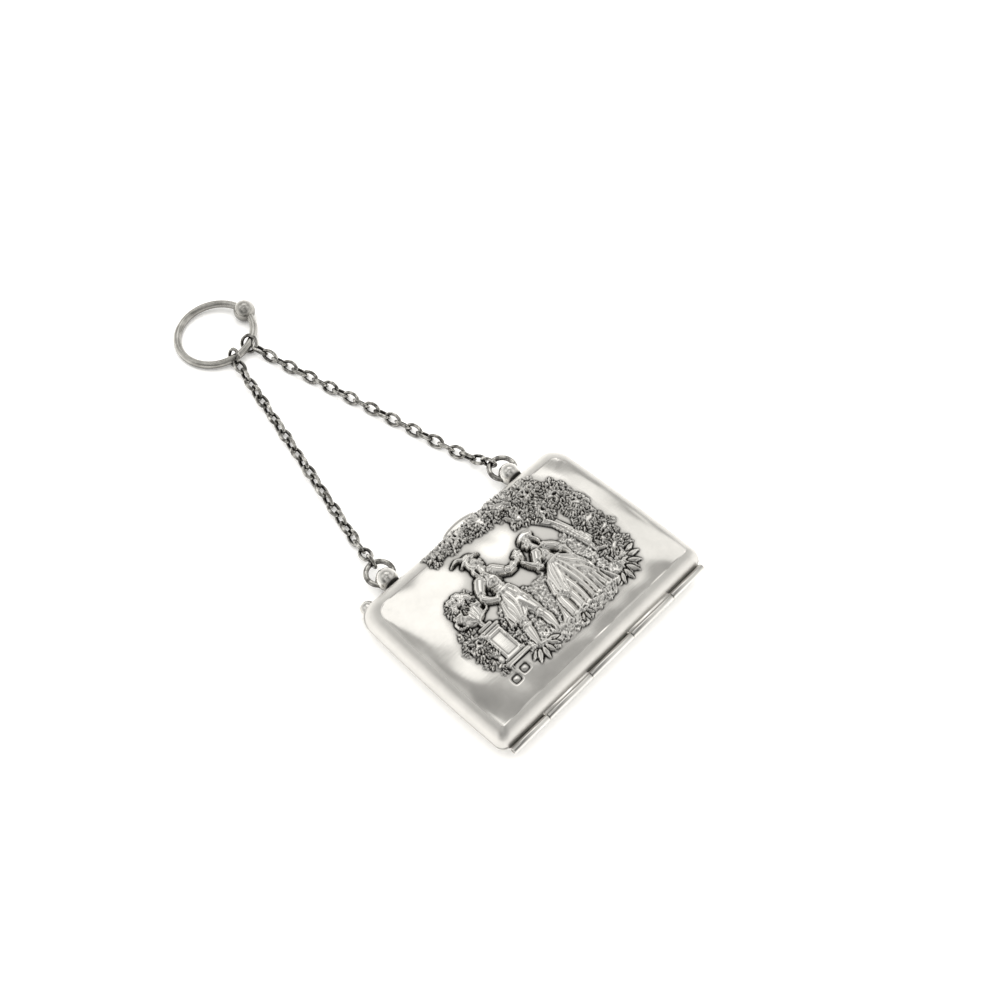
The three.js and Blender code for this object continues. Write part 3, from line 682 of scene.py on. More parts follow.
tree = {
    "trunk": [(17.2, -12.4, 2.0), (16.5, -8.0, 1.7), (15.6, -1.5, 1.45), (14.2, 4.5, 1.25),
              (12.6, 10.5, 0.9)],
    "trunkSteps": 14, "trunkHeight": 1.0,
    "branches": {
        "outer": (ridge, [[(15.2, 0.5, 0.85), (17.8, 4.5, 0.7), (18.8, 9.6, 0.4)]], 0.85, 0.0, 8),
        "inner": (ridge, [[(13.6, 6.0, 0.75), (10.6, 10.4, 0.55), (7.6, 13.6, 0.3)]], 0.8, 0.0, 8),
        "roots": (bar, [((17.0, -11.6, 0.9), (17.2 + du, -12.6 + dv, 0.35)) for du, dv in
                        ((-2.6, -1.2), (-1.0, -1.8), (1.2, -1.6), (2.4, -0.6))], 0.7),
    },
    # ridges of bark: share of the trunk's radius that each lies aside, and where its wave starts
    "bark": [(-0.66, 0.4), (-0.3, 1.9), (0.06, 3.1), (0.4, 4.4), (0.74, 5.2)],
    "barkWave": (0.14, 1.3), "barkRadius": 0.17, "barkHeight": 0.24, "barkBase": (0.95, 0.4),
}


def treeAndBushes(field, rng):
    trunk = curveThrough(tree["trunk"], tree["trunkSteps"])
    bar(field, zip(trunk, trunk[1:]), tree["trunkHeight"])
    workForms(field, tree["branches"])
    sway, pace = tree["barkWave"]
    middle, falling = tree["barkBase"]
    for aside, wave in tree["bark"]:
        line = [(u + r * aside + sway * math.sin(pace * k + wave), v, tree["barkRadius"])
                for k, (u, v, r) in enumerate(trunk)]
        bar(field, zip(line, line[1:]), tree["barkHeight"], middle - falling * aside * aside)
    for mass in foliage["bushes"] + foliage["canopy"]:
        leafMass(field, rng, *mass, foliage["crowding"])


turf = {
    "dish": 0.007,  # the ground rises towards the sides by this times u squared
    "bank": {"v": -13.2, "depth": 3.2, "height": 0.45, "middle": 4.0, "half": 17.0, "fade": 5},
    "blades": 900, "bladesU": (-13.0, 19.5), "bladesV": (-14.6, -11.6),
    "blade": {"length": (0.8, 1.5), "width": (0.26, 0.4), "spread": 30, "rise": (0.25, 0.5), "base": 0.2},
    "tufts": 46, "tuftsU": (-12.0, 31.0), "tuftsV": -15.2, "fan": (-56, 54, -34, 36, -12, 14),
    "tuft": {"length": (1.0, 1.7), "width": (0.3, 0.42), "spread": 6, "rise": (0.3, 0.5), "base": 0.15},
    "strokes": 150, "strokesU": (-12.5, 18.5), "strokesV": -16.2, "strokeDepth": 0.22,
    # u, v, length, width, turn of the broad leaves at the front, in three clumps
    "leaves": [
        (-12.2, -12.4, 3.0, 1.2, 205), (-12.0, -12.6, 3.4, 1.3, 232), (-11.2, -12.8, 3.2, 1.3, 258),
        (-10.4, -12.8, 2.8, 1.2, 284), (-9.6, -12.6, 3.0, 1.2, 312), (-9.0, -12.4, 2.8, 1.1, 338),
        (14.0, -12.8, 2.8, 1.1, 212), (14.6, -12.8, 3.0, 1.2, 240), (15.6, -12.6, 3.2, 1.3, 270),
        (16.6, -12.2, 3.4, 1.3, 298), (17.8, -11.6, 3.4, 1.3, 322), (18.8, -10.8, 3.2, 1.2, 346),
        (19.4, -9.8, 2.8, 1.1, 8), (1.0, -13.4, 2.0, 0.8, 235), (1.5, -13.6, 2.2, 0.9, 265),
        (2.1, -13.4, 2.0, 0.8, 300),
    ],
    "leafGap": 0.16, "ribLength": 0.92, "ribWidth": 0.3,
}


def grass(field, rng, u, v, lean, kind):
    length, width = rng.uniform(*kind["length"]), rng.uniform(*kind["width"])
    turn = math.radians(90 + lean + rng.normal(0, kind["spread"]))
    stampBlade(field, u, v, length, width, turn, rng.uniform(*kind["rise"]), kind["base"])


def turfAndLeaves(field, rng):
    dish, bank = turf["dish"], turf["bank"]
    mound = np.clip(1 - ((field["v"] - bank["v"] - dish * field["u"] ** 2) / bank["depth"]) ** 2, 0, 1) ** 1.5
    ends = np.clip((bank["half"] - np.abs(field["u"] - bank["middle"])) / bank["fade"], 0, 1) ** 2
    rolling = 0.85 + 0.15 * np.sin(0.9 * field["u"])
    np.maximum(field["h"], bank["height"] * mound * ends * rolling, out=field["h"])
    for k in range(turf["blades"]):
        u = rng.uniform(*turf["bladesU"])
        grass(field, rng, u, rng.uniform(*turf["bladesV"]) + dish * u * u, 0, turf["blade"])
    first, span = turf["tuftsU"]
    for k in range(turf["tufts"]):  # along the front
        u = first + span * (k + rng.uniform(-0.4, 0.4)) / turf["tufts"]
        v = turf["tuftsV"] + dish * u * u + rng.uniform(-0.9, 0.9)
        for lean in turf["fan"]:
            grass(field, rng, u, v, lean, turf["tuft"])
    for k in range(turf["strokes"]):  # engraved strokes in front
        u = rng.uniform(*turf["strokesU"])
        v = turf["strokesV"] + dish * u * u + rng.normal(0, 0.7)
        end = (u + rng.uniform(0.5, 1.1), v + rng.uniform(-0.1, 0.5), 0.1)
        groove(field, [((u, v, 0.16), end)], turf["strokeDepth"])
    for u, v, length, width, turn in turf["leaves"]:
        way = math.radians(turn)
        stampLeaf(field, u, v, length, width, way, 0.55, 0.3, 0.2, turf["leafGap"])
        stampLeaf(field, u, v, length * turf["ribLength"], turf["ribWidth"], way, 0.2, 0.72, 0.2)


# What the urn and the couple are worked from: for each form its tool, its shapes and the tool's own sizes
urnU = -16.4
urn = {
    "bowl": (pad, [(urnU, 3.4, 3.0, 2.6)], 1.3),
    "rim": (bar, [((urnU - 3.2, 5.35, 0.5), (urnU + 3.2, 5.35, 0.5))], 0.95, 0.35),
    "stem": (bar, [((urnU, 1.2, 0.7), (urnU, 0.1, 0.6))], 0.9),
    "foot": (bar, [((urnU - 1.4, -0.6, 0.55), (urnU + 1.4, -0.6, 0.55))], 0.95),
    "handles": (ridge, [[(urnU + side * 2.7, 4.4, 0.32), (urnU + side * 4.0, 4.3, 0.36),
        (urnU + side * 3.9, 2.7, 0.34), (urnU + side * 2.5, 2.2, 0.28)]
        for side in (-1, 1)], 0.75, 0.1, 10),
    "mouldings": (bar, [((urnU - half, v, thick), (urnU + half, v, thick)) for v, half, thick in
        ((-1.6, 2.6, 0.5), (-2.4, 2.2, 0.4), (-9.6, 2.4, 0.45), (-10.6, 2.9, 0.6))], 0.85),
    "pedestal": (slab, (urnU, 2.25, -9.8, -2.4), 0.72),
    "plain panel": (sunkPanel, (urnU, 1.5, -8.8, -3.5), 0.5),
}
bouquet = {"mass": (urnU, 7.2, 3.5, 1.7, 0.8), "crowding": 0.9, "flowers": 17, "foot": 6.3, "reach": 3.3,
           "petals": 5, "petalOut": 0.42}


def urnOnPedestal(field, rng):
    for k in range(-3, 4):  # gadroons, lower towards the bowl's sides
        line = [(urnU + 0.82 * k, 4.6, 0.38), (urnU + 0.72 * k, 2.8, 0.4), (urnU + 0.3 * k, 1.2, 0.24)]
        ridge(field, [line], 0.42, 1.0 - 0.07 * k * k, 7)
    workForms(field, urn)
    leafMass(field, rng, *bouquet["mass"], bouquet["crowding"])
    for k in range(bouquet["flowers"]):
        angle = rng.uniform(0, math.pi)
        out = bouquet["reach"] * math.sqrt(rng.random())
        u, v = urnU + out * math.cos(angle), bouquet["foot"] + out * math.sin(angle)
        for petal in range(bouquet["petals"]):
            turn = petal * 2 * math.pi / bouquet["petals"] + angle
            away = bouquet["petalOut"]
            stampBead(field, u + away * math.cos(turn), v + away * math.sin(turn), 0.36, 0.3, 0.85)
        stampBead(field, u, v, 0.27, 0.3, 1.0)
    leaves(field, [(urnU + side * (1.2 + 0.42 * k), 5.6 - 0.12 * k, 1.5, 0.66, -90 + side * (35 - 9 * k))
                   for side in (-1, 1) for k in range(6)], 0.35, 0.95, 0.25)  # sprays over the rim


def head(field, place, way):  # a plain rounded head seen from the side, way -1 looks left
    u, v = place
    workForms(field, {
        "skull": (swell, [(u, v, 1.5, 1.72)], 1.55, 0.05),
        "face": (swell, [(u + way * 0.62, v - 0.55, 0.98, 1.28, way * 12)], 1.6, 0.05),
        "chin": (pad, [(u + way * 1.12, v - 1.42, 0.5, 0.42)], 0.6, 0.85),
        "nose": (bar, [((u + way * 1.38, v + 0.05, 0.2), (u + way * 1.62, v - 0.5, 0.27))], 0.5, 0.9),
        "hollow of the eye": (dint, [(u + way * 1.02, v - 0.02, 0.4, 0.26)], 0.24),
        "line of the mouth": (dint, [(u + way * 1.36, v - 0.98, 0.34, 0.15)], 0.18),
        "under the jaw": (dint, [(u + way * 0.5, v - 1.75, 0.7, 0.3, way * 20)], 0.25),
    })


def posy(field, place, blooms):  # beads that wind out from the middle
    u, v = place
    for k in range(blooms):
        angle, out = 2.4 * k, 0.36 * math.sqrt(k)
        stampBead(field, u + out * math.cos(angle), v + 0.9 * out * math.sin(angle), 0.46, 0.45,
                  0.95 - 0.05 * out)


def roundAbout(u, v, across, along, degrees):
    return u + across * math.cos(math.radians(degrees)), v + along * math.sin(math.radians(degrees))


gallant = {
    "far thigh": (limb, [(-8.9, -1.6, 1.8), (-9.5, -4.6, 1.5), (-9.9, -7.0, 1.15)], 1.0),
    "far calf": (limb, [(-9.9, -7.0, 1.05), (-10.5, -8.9, 1.15), (-11.2, -11.7, 0.6)], 0.95),
    "far shoe": (bar, [((-11.2, -12.1, 0.75), (-9.0, -12.7, 0.48))], 0.7, 0.15),
    "near thigh": (limb, [(-6.3, -1.4, 1.9), (-5.5, -4.6, 1.6), (-5.3, -7.0, 1.2)], 1.25),
    "near calf": (limb, [(-5.3, -7.0, 1.1), (-5.0, -8.9, 1.25), (-5.5, -11.9, 0.62)], 1.15),
    "near shoe": (bar, [((-5.7, -12.3, 0.8), (-3.2, -12.8, 0.5))], 0.8, 0.15),
    "knee bands": (bar, [((u - 1.05, -6.9, 0.32), (u + 1.05, -7.02, 0.32)) for u in (-5.3, -9.85)],
        0.3, 0.95),
    "coat skirt behind": (drape, ([(-9.4, 3.2), (-10.4, 0.6), (-11.8, -2.4), (-13.0, -5.6)],
        [(-5.2, 3.2), (-5.0, 0.6), (-5.7, -2.4), (-7.4, -5.6)]),
        0.95, 6, 0.5, 0.12, 0.4),
    "coat skirt in front": (drape, ([(-7.4, 3.2), (-7.2, 1.0), (-7.2, -0.8), (-6.6, -3.4)],
        [(-5.1, 3.2), (-4.5, 1.0), (-3.9, -0.8), (-3.6, -3.4)]),
        1.15, 3, 0.45, 0.1, 1.4),
    "waist": (swell, [(-7.3, 3.6, 1.95, 1.7)], 1.4, 0.1),
    "chest": (swell, [(-7.0, 6.6, 2.5, 2.4)], 1.6, 0.14),
    "shoulders": (swell, [(-7.1, 8.5, 2.9, 1.2)], 1.3, 0.12),
    "creases at the waist": (ridge, [[(-8.9, 5.4 - 0.75 * k, 0.22), (-7.3, 4.8 - 0.75 * k, 0.28),
        (-5.8, 5.5 - 0.75 * k, 0.22)] for k in range(4)], 0.2, 1.42, 6),
    "sash": (bar, [((-9.2, 2.7, 0.42), (-5.4, 2.9, 0.42))], 0.35, 1.25),
    "end of the sash": (ridge, [[(-5.6, 2.7, 0.4), (-5.0, 1.0, 0.5), (-5.3, -0.9, 0.45)]], 0.4, 1.2, 7),
    "lapel": (ridge, [[(-7.4, 8.6, 0.34), (-6.2, 6.6, 0.3), (-6.4, 3.6, 0.3)]], 0.3, 1.5, 8),
    "neck": (bar, [((-6.5, 11.0, 0.9), (-6.8, 9.2, 1.1))], 0.8, 0.45),
    "ruffle at the neck": (beads, [(-5.9 + 0.16 * math.sin(2 * k), 9.7 - 0.5 * k) for k in range(6)],
        0.46, 0.32, 1.35),
    "head": (head, (-6.6, 12.4), 1),
    "curled hair": (beads, [roundAbout(-6.95, 12.6, 1.25, 1.5, 62 + 20 * k) for k in range(10)],
        0.56, 0.42, 1.15),
    "tied hair": (ridge, [[(-8.0, 11.7, 0.5), (-8.6, 10.4, 0.46), (-8.4, 9.1, 0.3)]], 0.45, 0.95, 6),
    "hat brim": (ridge, [[(-9.3, 13.5, 0.34), (-7.2, 14.15, 0.55), (-4.5, 13.6, 0.34)]], 0.5, 1.15, 8),
    "hat crown": (swell, [(-6.9, 14.7, 1.6, 1.0)], 1.2, 0.06),
    "plume": (ridge, [[(-7.6, 14.7, 0.34), (-9.0, 15.7, 0.5), (-10.8, 15.2, 0.28)]], 0.5, 0.8, 7),
    "far arm": (limb, [(-9.3, 8.0, 1.35), (-10.9, 6.2, 1.25), (-11.8, 4.4, 1.05)], 1.3),
    "far forearm": (limb, [(-11.8, 4.4, 1.0), (-10.8, 3.0, 0.9), (-9.5, 2.0, 0.7)], 1.35),
    "near arm": (limb, [(-5.0, 8.2, 1.4), (-3.8, 6.6, 1.3), (-2.6, 5.4, 1.1)], 1.8),
    "near forearm": (limb, [(-2.6, 5.4, 1.05), (-1.5, 5.4, 0.95), (-0.4, 5.6, 0.75)], 1.75),
    "folds of the sleeve": (bar, [((-4.8 + 0.75 * k, 7.0 - 0.8 * k, 0.2),
        (-3.6 + 0.6 * k, 7.6 - 0.75 * k, 0.2))
        for k in range(3)], 0.2, 1.7),
    "cuff": (bar, [((-1.1, 4.85, 0.42), (-1.0, 6.25, 0.42))], 0.6, 1.35),
    "hand": (bar, [((-0.5, 5.55, 0.6), (0.6, 5.7, 0.5))], 0.6, 1.1),
    "posy": (posy, (1.5, 6.8), 13),
    "posy leaves": (leaves, [(1.0, 5.8, 1.6, 0.55, -80 + 28 * k) for k in range(6)], 0.3, 0.7, 0.2),
}

lady = {
    "skirt": (drape, ([(4.6, 0.4), (2.2, -2.6), (-0.2, -6.2), (-2.4, -10.2), (-4.2, -13.0)],
        [(7.9, 0.4), (9.9, -2.6), (11.2, -6.2), (12.4, -10.2), (13.6, -13.0)]),
        1.0, 9, 0.85, 0.09, 0.7),
    "ruffle along the hem": (beads, [(-3.9 + 0.68 * k, -12.9 + 0.3 * math.sin(1.25 * k)) for k in range(26)],
        0.5, 0.35, 0.45),
    "near overskirt": (drape, ([(4.5, 0.6), (1.8, -1.6), (0.3, -4.2), (-0.2, -6.4), (1.4, -8.8)],
        [(6.2, 0.6), (6.1, -1.6), (5.7, -4.2), (5.0, -6.4), (3.4, -8.8)]),
        1.25, 5, 0.6, 0.16, 2.1),
    "far overskirt": (drape, ([(6.2, 0.6), (6.6, -1.6), (7.3, -4.2), (8.2, -6.4), (9.8, -8.8)],
        [(8.1, 0.6), (10.4, -1.6), (11.5, -4.2), (11.9, -6.4), (11.4, -8.8)]),
        1.15, 5, 0.6, 0.16, 0.2),
    "bows": (pad, [(u + side * 0.5, v, 0.6, 0.4, -side * 20) for side in (-1, 1) for u, v in
        ((0.7, -6.9), (2.2, -8.6), (10.6, -8.6), (11.6, -6.6), (4.4, -7.4), (8.6, -7.4))], 0.45, 1.0),
    "waist": (swell, [(6.3, 1.0, 1.55, 1.8)], 1.4, 0.1),
    "bodice": (swell, [(5.9, 3.1, 2.1, 1.9)], 1.55, 0.12),
    "shoulders": (swell, [(6.0, 4.4, 2.5, 1.1)], 1.3, 0.12),
    "bust": (pad, [(4.8, 3.1, 1.15, 1.05)], 0.35, 1.4),
    "lacing": (groove, [((5.0, 2.0 - 0.55 * k, 0.16), (6.7, 1.7 - 0.55 * k, 0.16)) for k in range(5)], 0.2),
    "belt": (bar, [((4.7, 0.3, 0.34), (7.9, 0.4, 0.34))], 0.3, 1.35),
    "neck": (bar, [((5.5, 6.4, 0.8), (5.8, 4.9, 1.0))], 0.8, 0.45),
    "collar": (beads, [(4.2 + 0.6 * k, 4.7 - 0.3 * math.sin(math.pi * k / 6)) for k in range(7)],
        0.42, 0.32, 1.3),
    "head": (head, (5.4, 7.8), -1),
    "hair swept back": (ridge, [[(*roundAbout(5.2, 7.9, 1.5, 1.7, turn), 0.26),
        (*roundAbout(6.0, 8.5, 0.9, 1.2, turn), 0.32), (6.9, 8.7, 0.28)]
        for turn in range(158, 13, -18)], 0.42, 1.3, 6),
    "bun": (pad, [(7.0, 8.9, 1.1, 1.05)], 0.8, 0.95),
    "flowers in it": (beads, [(5.6 + 0.55 * k, 9.75 - 0.14 * (k - 1.5) ** 2) for k in range(5)],
        0.42, 0.42, 1.25),
    "curl": (ridge, [[(7.0, 7.9, 0.45), (7.6, 6.3, 0.42), (7.2, 4.9, 0.3)]], 0.5, 0.95, 7),
    "far arm": (limb, [(7.7, 4.2, 1.15), (9.2, 2.8, 1.1), (10.0, 1.0, 0.9)], 1.35),
    "far forearm": (limb, [(10.0, 1.0, 0.8), (10.3, -0.4, 0.7), (10.2, -1.6, 0.5)], 1.5),
    "hand holding the skirt": (pad, [(10.1, -2.3, 0.6, 0.75)], 0.4, 1.2),
    "far lace": (beads, [(9.2 + 0.5 * k, 0.75 + 0.12 * math.sin(2 * k)) for k in range(4)], 0.42, 0.4, 1.1),
    "near arm": (limb, [(4.6, 4.1, 1.15), (3.4, 2.6, 1.15), (2.5, 1.5, 0.95)], 1.75),
    "near forearm": (limb, [(2.5, 1.5, 0.85), (1.6, 2.6, 0.75), (1.0, 3.8, 0.55)], 1.7),
    "near lace": (beads, [(1.8 + 0.5 * k, 0.75 + 0.12 * math.sin(2 * k)) for k in range(4)], 0.42, 0.4, 1.2),
    "raised hand": (pad, [(0.8, 4.4, 0.58, 0.72, 15)], 0.55, 1.0),
}


def softened(values, sigma):  # Gaussian blur, sigma in grid steps
    rows, cols = values.shape
    margin = int(4 * sigma) + 2
    wide = np.pad(values, margin, mode="edge")
    fr = np.fft.fftfreq(wide.shape[0])[:, None]
    fc = np.fft.rfftfreq(wide.shape[1])[None, :]
    spread = np.exp(-2 * (math.pi * sigma) ** 2 * (fr ** 2 + fc ** 2))
    blurred = np.fft.irfft2(np.fft.rfft2(wide) * spread, wide.shape)
    return blurred[margin:margin + rows, margin:margin + cols]


# Two small struck shields with nothing in them: places and half sizes in millimetres
punches = {
    "places": [(-23.5, -17.4), (-19.9, -16.7)], "half": (1.5, 1.35), "depth": 0.42, "rim": 0.22,
    "dome": (0.25, 0.5),
}


def blankPunches(field):
    rise, reach = punches["dome"]
    for x, y in punches["places"]:
        dx, dy = np.abs(field["x"] - x) / punches["half"][0], np.abs(field["y"] - y) / punches["half"][1]
        share = (dx ** 4 + dy ** 4) ** 0.25
        dish = np.clip((1 - share) / punches["rim"], 0, 1)
        field["h"] -= punches["depth"] * dish * (1 - rise * np.clip((reach - share) / reach, 0, 1))


def oxideShadeAndMatt(field):  # oxide and painted shade in the hollows, and matted ground among the forms
    h, step, matt = field["h"], garden["step"], garden["matt"]
    low = garden["tall"] * np.tanh(h / garden["tall"])  # tall forms count for less
    oxide = np.zeros_like(h)
    for reach, depth, share in garden["hollows"]:
        oxide += share * np.clip((softened(low, reach / step) - low) / depth, 0, 1)
    field["oxide"] = np.clip(oxide, 0, 1)
    among = softened((h > matt["form"]).astype(float), matt["reach"] / step)
    ground = np.clip(1 - h / matt["height"], 0, 1)
    field["wear"] = np.clip((among - matt["start"]) / matt["span"], 0, 1) * ground


def buildGarden(xs, ys):
    field = gardenField(xs, ys)
    rng = np.random.default_rng(garden["seed"])
    clippedHedge(field, rng)
    treeAndBushes(field, rng)
    turfAndLeaves(field, rng)
    urnOnPedestal(field, rng)
    workForms(field, gallant)
    workForms(field, lady)
    x, y = field["x"], field["y"]
    inset = np.minimum.reduce([x - xs[0], xs[-1] - x, y - ys[0], ys[-1] - y])
    fade = np.clip(inset / garden["edge"], 0, 1)
    field["h"] = np.clip(field["h"], garden["deepest"], None) * fade * fade * (3 - 2 * fade)
    blankPunches(field)
    field["h"] = softened(field["h"], garden["soften"])
    oxideShadeAndMatt(field)
    print("garden worked up:", field["h"].shape, "heights")
    return field


# Both halves are cushion-shaped trays, whose ends swell out a little and draw in towards the chains
tray = {"bow": 0.4, "taper": 0.9, "power": 8}

# The pressed cover, with a crowned face that carries the garden
cover = {
    "halfX": 38.6, "halfY": 27.1, "centreY": -0.2, "faceShift": -0.5, "rimHeight": 6.65,
    "hingeTighter": 3.3, "leastCorner": 0.8,
    # rise, inset at the ends, inset at the long sides, corner radius, share of the face's shift towards
    # the hinge: from the rim up to the crease
    "wallRows": [
        (0.0, 0.0, 0.0, 6.0, 0.0), (0.8, 0.1, 0.12, 5.95, 0.03), (1.5, 0.3, 0.35, 5.8, 0.1),
        (2.4, 0.65, 0.8, 5.6, 0.22), (3.1, 1.1, 1.3, 5.4, 0.35), (3.7, 1.6, 1.9, 5.1, 0.52),
        (4.2, 2.2, 2.6, 4.8, 0.7), (4.6, 2.92, 3.45, 4.3, 0.93), (4.7, 3.2, 3.8, 4.0, 1.0),
    ],
    "wallLoops": 18,
    "crownRise": 5.75, "crownEnds": 6.6, "crownSides": 3.5,
    "insideRows": [
        (0.0, 0.7, 0.7, 5.3, 0.0), (1.4, 0.95, 1.0, 5.2, 0.1), (2.7, 1.6, 1.8, 4.9, 0.35),
        (3.4, 2.4, 2.75, 4.5, 0.7), (3.8, 3.3, 3.85, 3.6, 1.0), (3.92, 3.8, 4.4, 2.9, 1.0),
    ],
    "insideDrop": 0.77, "insideRelief": 0.6, "insideSoften": 4.0,
    "insideStain": 0.15, "insideOxide": 0.3, "insideWear": 0.5,
    "dent": 0.05, "dentSpan": 19.0, "overBevel": 4.4, "wallStain": 0.16, "creaseWear": 0.6,
    "leafWear": (0.7, 0.3),  # how much brighter leaves on the bevel are, and the height that is full
    "endSteps": (10, 8), "sharpAt": 50,
}


def bowed(x, y, a, b):
    bulge = tray["bow"] * (1 - (y / b) ** 2) - tray["taper"] * ((1 + y / b) / 2) ** 2
    return x + np.sign(x) * bulge * np.abs(x / a) ** tray["power"]


def faceGrid():  # the face's half sizes and its grid, fine where the garden is
    rise, insetX, insetY, corner, shifted = cover["wallRows"][-1]
    a, b = cover["halfX"] - insetX, cover["halfY"] - insetY
    fine = 2 * round((garden["right"] - garden["left"]) / garden["step"] / 2)
    left = np.linspace(-a, garden["left"], cover["endSteps"][0] + 1)[:-1]
    middle = np.linspace(garden["left"], garden["right"], fine + 1)
    right = np.linspace(garden["right"], a, cover["endSteps"][1] + 1)[1:]
    xs = np.concatenate([left, middle, right])
    ys = np.linspace(-b, b, 2 * round(b / garden["step"]) + 1)
    x, y = np.meshgrid(xs, ys)
    return {"a": a, "b": b, "corner": corner, "xs": xs, "ys": ys, "x": x, "y": y,
            "first": len(left), "garden": slice(len(left), len(left) + fine + 1),
            "middle": cover["centreY"] + cover["faceShift"]}


def cornerAt(y, corner):  # squarer at the hinge
    return np.where(y > 0, corner, max(corner - cover["hingeTighter"], cover["leastCorner"]))


def faceHeight(face, x, y):  # of the plain crowned face
    low = cover["wallRows"][-1][0]
    crown = 1 - np.abs(x / face["a"]) ** cover["crownEnds"]
    crown = crown * (1 - np.abs(y / face["b"]) ** cover["crownSides"])
    return cover["rimHeight"] + (low + (cover["crownRise"] - low) * np.clip(crown, 0, 1))


def handDents(x, y):  # slow unevenness of thin pressed sheet
    k = 2 * math.pi / cover["dentSpan"]
    waves = np.sin(k * (x + 0.4 * y) + 0.7) + 0.8 * np.sin(k * (0.5 * x - 1.3 * y) + 2.1)
    return cover["dent"] * (waves + 0.6 * np.sin(k * (1.7 * x + 0.9 * y) + 4.0))


def roundCorners(face):  # the grid's four corner squares become quarter discs
    x, y, a, b = face["x"], face["y"], face["a"], face["b"]
    corner = cornerAt(y, face["corner"])
    px, py = np.abs(x) - (a - corner), np.abs(y) - (b - corner)
    inCorner = (px > 0) & (py > 0)
    pull = np.where(inCorner, np.maximum(px, py) / np.maximum(np.hypot(px, py), 1e-9), 1.0)
    newX = np.where(inCorner, np.sign(x) * (a - corner + px * pull), x)
    newY = np.where(inCorner, np.sign(y) * (b - corner + py * pull), y)
    return newX, newY


def edgeLoop(face, x, y, row):  # a loop of the wall, point for point with the face's edge
    rise, insetX, insetY, radius, shifted = row
    a, b = face["a"], face["b"]
    halfX, halfY = cover["halfX"] - insetX, cover["halfY"] - insetY
    corner, radius = cornerAt(y, face["corner"]), cornerAt(y, radius)
    coreX, coreY = np.clip(x, corner - a, a - corner), np.clip(y, corner - b, b - corner)
    outX, outY = x - coreX, y - coreY
    size = np.maximum(np.hypot(outX, outY), 1e-9)
    newX = coreX * (halfX - radius) / (a - corner) + radius * outX / size
    newY = coreY * (halfY - radius) / (b - corner) + radius * outY / size
    middle = cover["centreY"] + cover["faceShift"] * shifted
    height = np.full_like(x, cover["rimHeight"] + rise)
    return np.stack([bowed(newX, newY, halfX, halfY), newY + middle, height], axis=1)


def gridEdge(columns, rows):  # indices round the grid's edge, counter-clockwise from above
    i = np.arange(columns * rows).reshape(rows, columns)
    return np.concatenate([i[0, :-1], i[:-1, -1], i[-1, :0:-1], i[:0:-1, 0]])


def gridFaces(columns, rows, up):
    i = np.arange(columns * rows).reshape(rows, columns)
    a, b, c, d = i[:-1, :-1], i[:-1, 1:], i[1:, 1:], i[1:, :-1]
    return np.stack([a, b, c, d] if up else [a, d, c, b], axis=-1).reshape(-1, 4)


def addPoints(shell, points, oxide, wear):  # gives the new points' indices
    start = shell["count"]
    shell["count"] += len(points)
    shell["points"].append(points)
    shell["oxide"].append(np.broadcast_to(oxide, len(points)))
    shell["wear"].append(np.broadcast_to(wear, len(points)))
    return start + np.arange(len(points))


def pressFace(face, shell):
    step, middle = garden["step"], face["middle"]
    beyond = face["b"] + step * np.arange(1, round(cover["overBevel"] / step) + 1)
    field = buildGarden(face["xs"][face["garden"]], np.concatenate([face["ys"], beyond]) + middle)
    for name in ("h", "oxide", "wear"):
        face[name] = np.zeros_like(face["x"])
        face[name][:, face["garden"]] = field[name][:len(face["ys"])]
    wear, relief = face["wear"], face["h"]
    wear[0, :] = wear[:, 0] = wear[:, -1] = wear[-1, :] = cover["creaseWear"]
    top = faceHeight(face, face["x"], face["y"]) + handDents(face["x"], face["y"]) + relief
    crease = cover["rimHeight"] + cover["wallRows"][-1][0]
    top[0, :] = top[:, 0] = top[:, -1] = crease
    top[-1, :] = crease + relief[-1, :]
    face["roundX"], face["roundY"] = x, y = roundCorners(face)
    points = np.stack([bowed(x, y, face["a"], face["b"]), y + middle, top], axis=-1).reshape(-1, 3)
    addPoints(shell, points, face["oxide"].ravel(), wear.ravel())
    shell["faces"] += gridFaces(len(face["xs"]), len(face["ys"]), True).tolist()
    return field


def overEdge(rows, middle):  # down the chain side's bevel: how far round it, and the way it faces
    profile = np.array([(middle + cover["faceShift"] * (shifted - 1) + cover["halfY"] - insetY, rise)
                        for rise, insetX, insetY, radius, shifted in rows])
    along = np.gradient(profile, axis=0)
    along /= np.linalg.norm(along, axis=1)[:, None]
    steps = np.linalg.norm(np.diff(profile, axis=0), axis=1)
    return np.concatenate([[0], np.cumsum(steps)]), np.stack([-along[:, 1], along[:, 0]], axis=1)


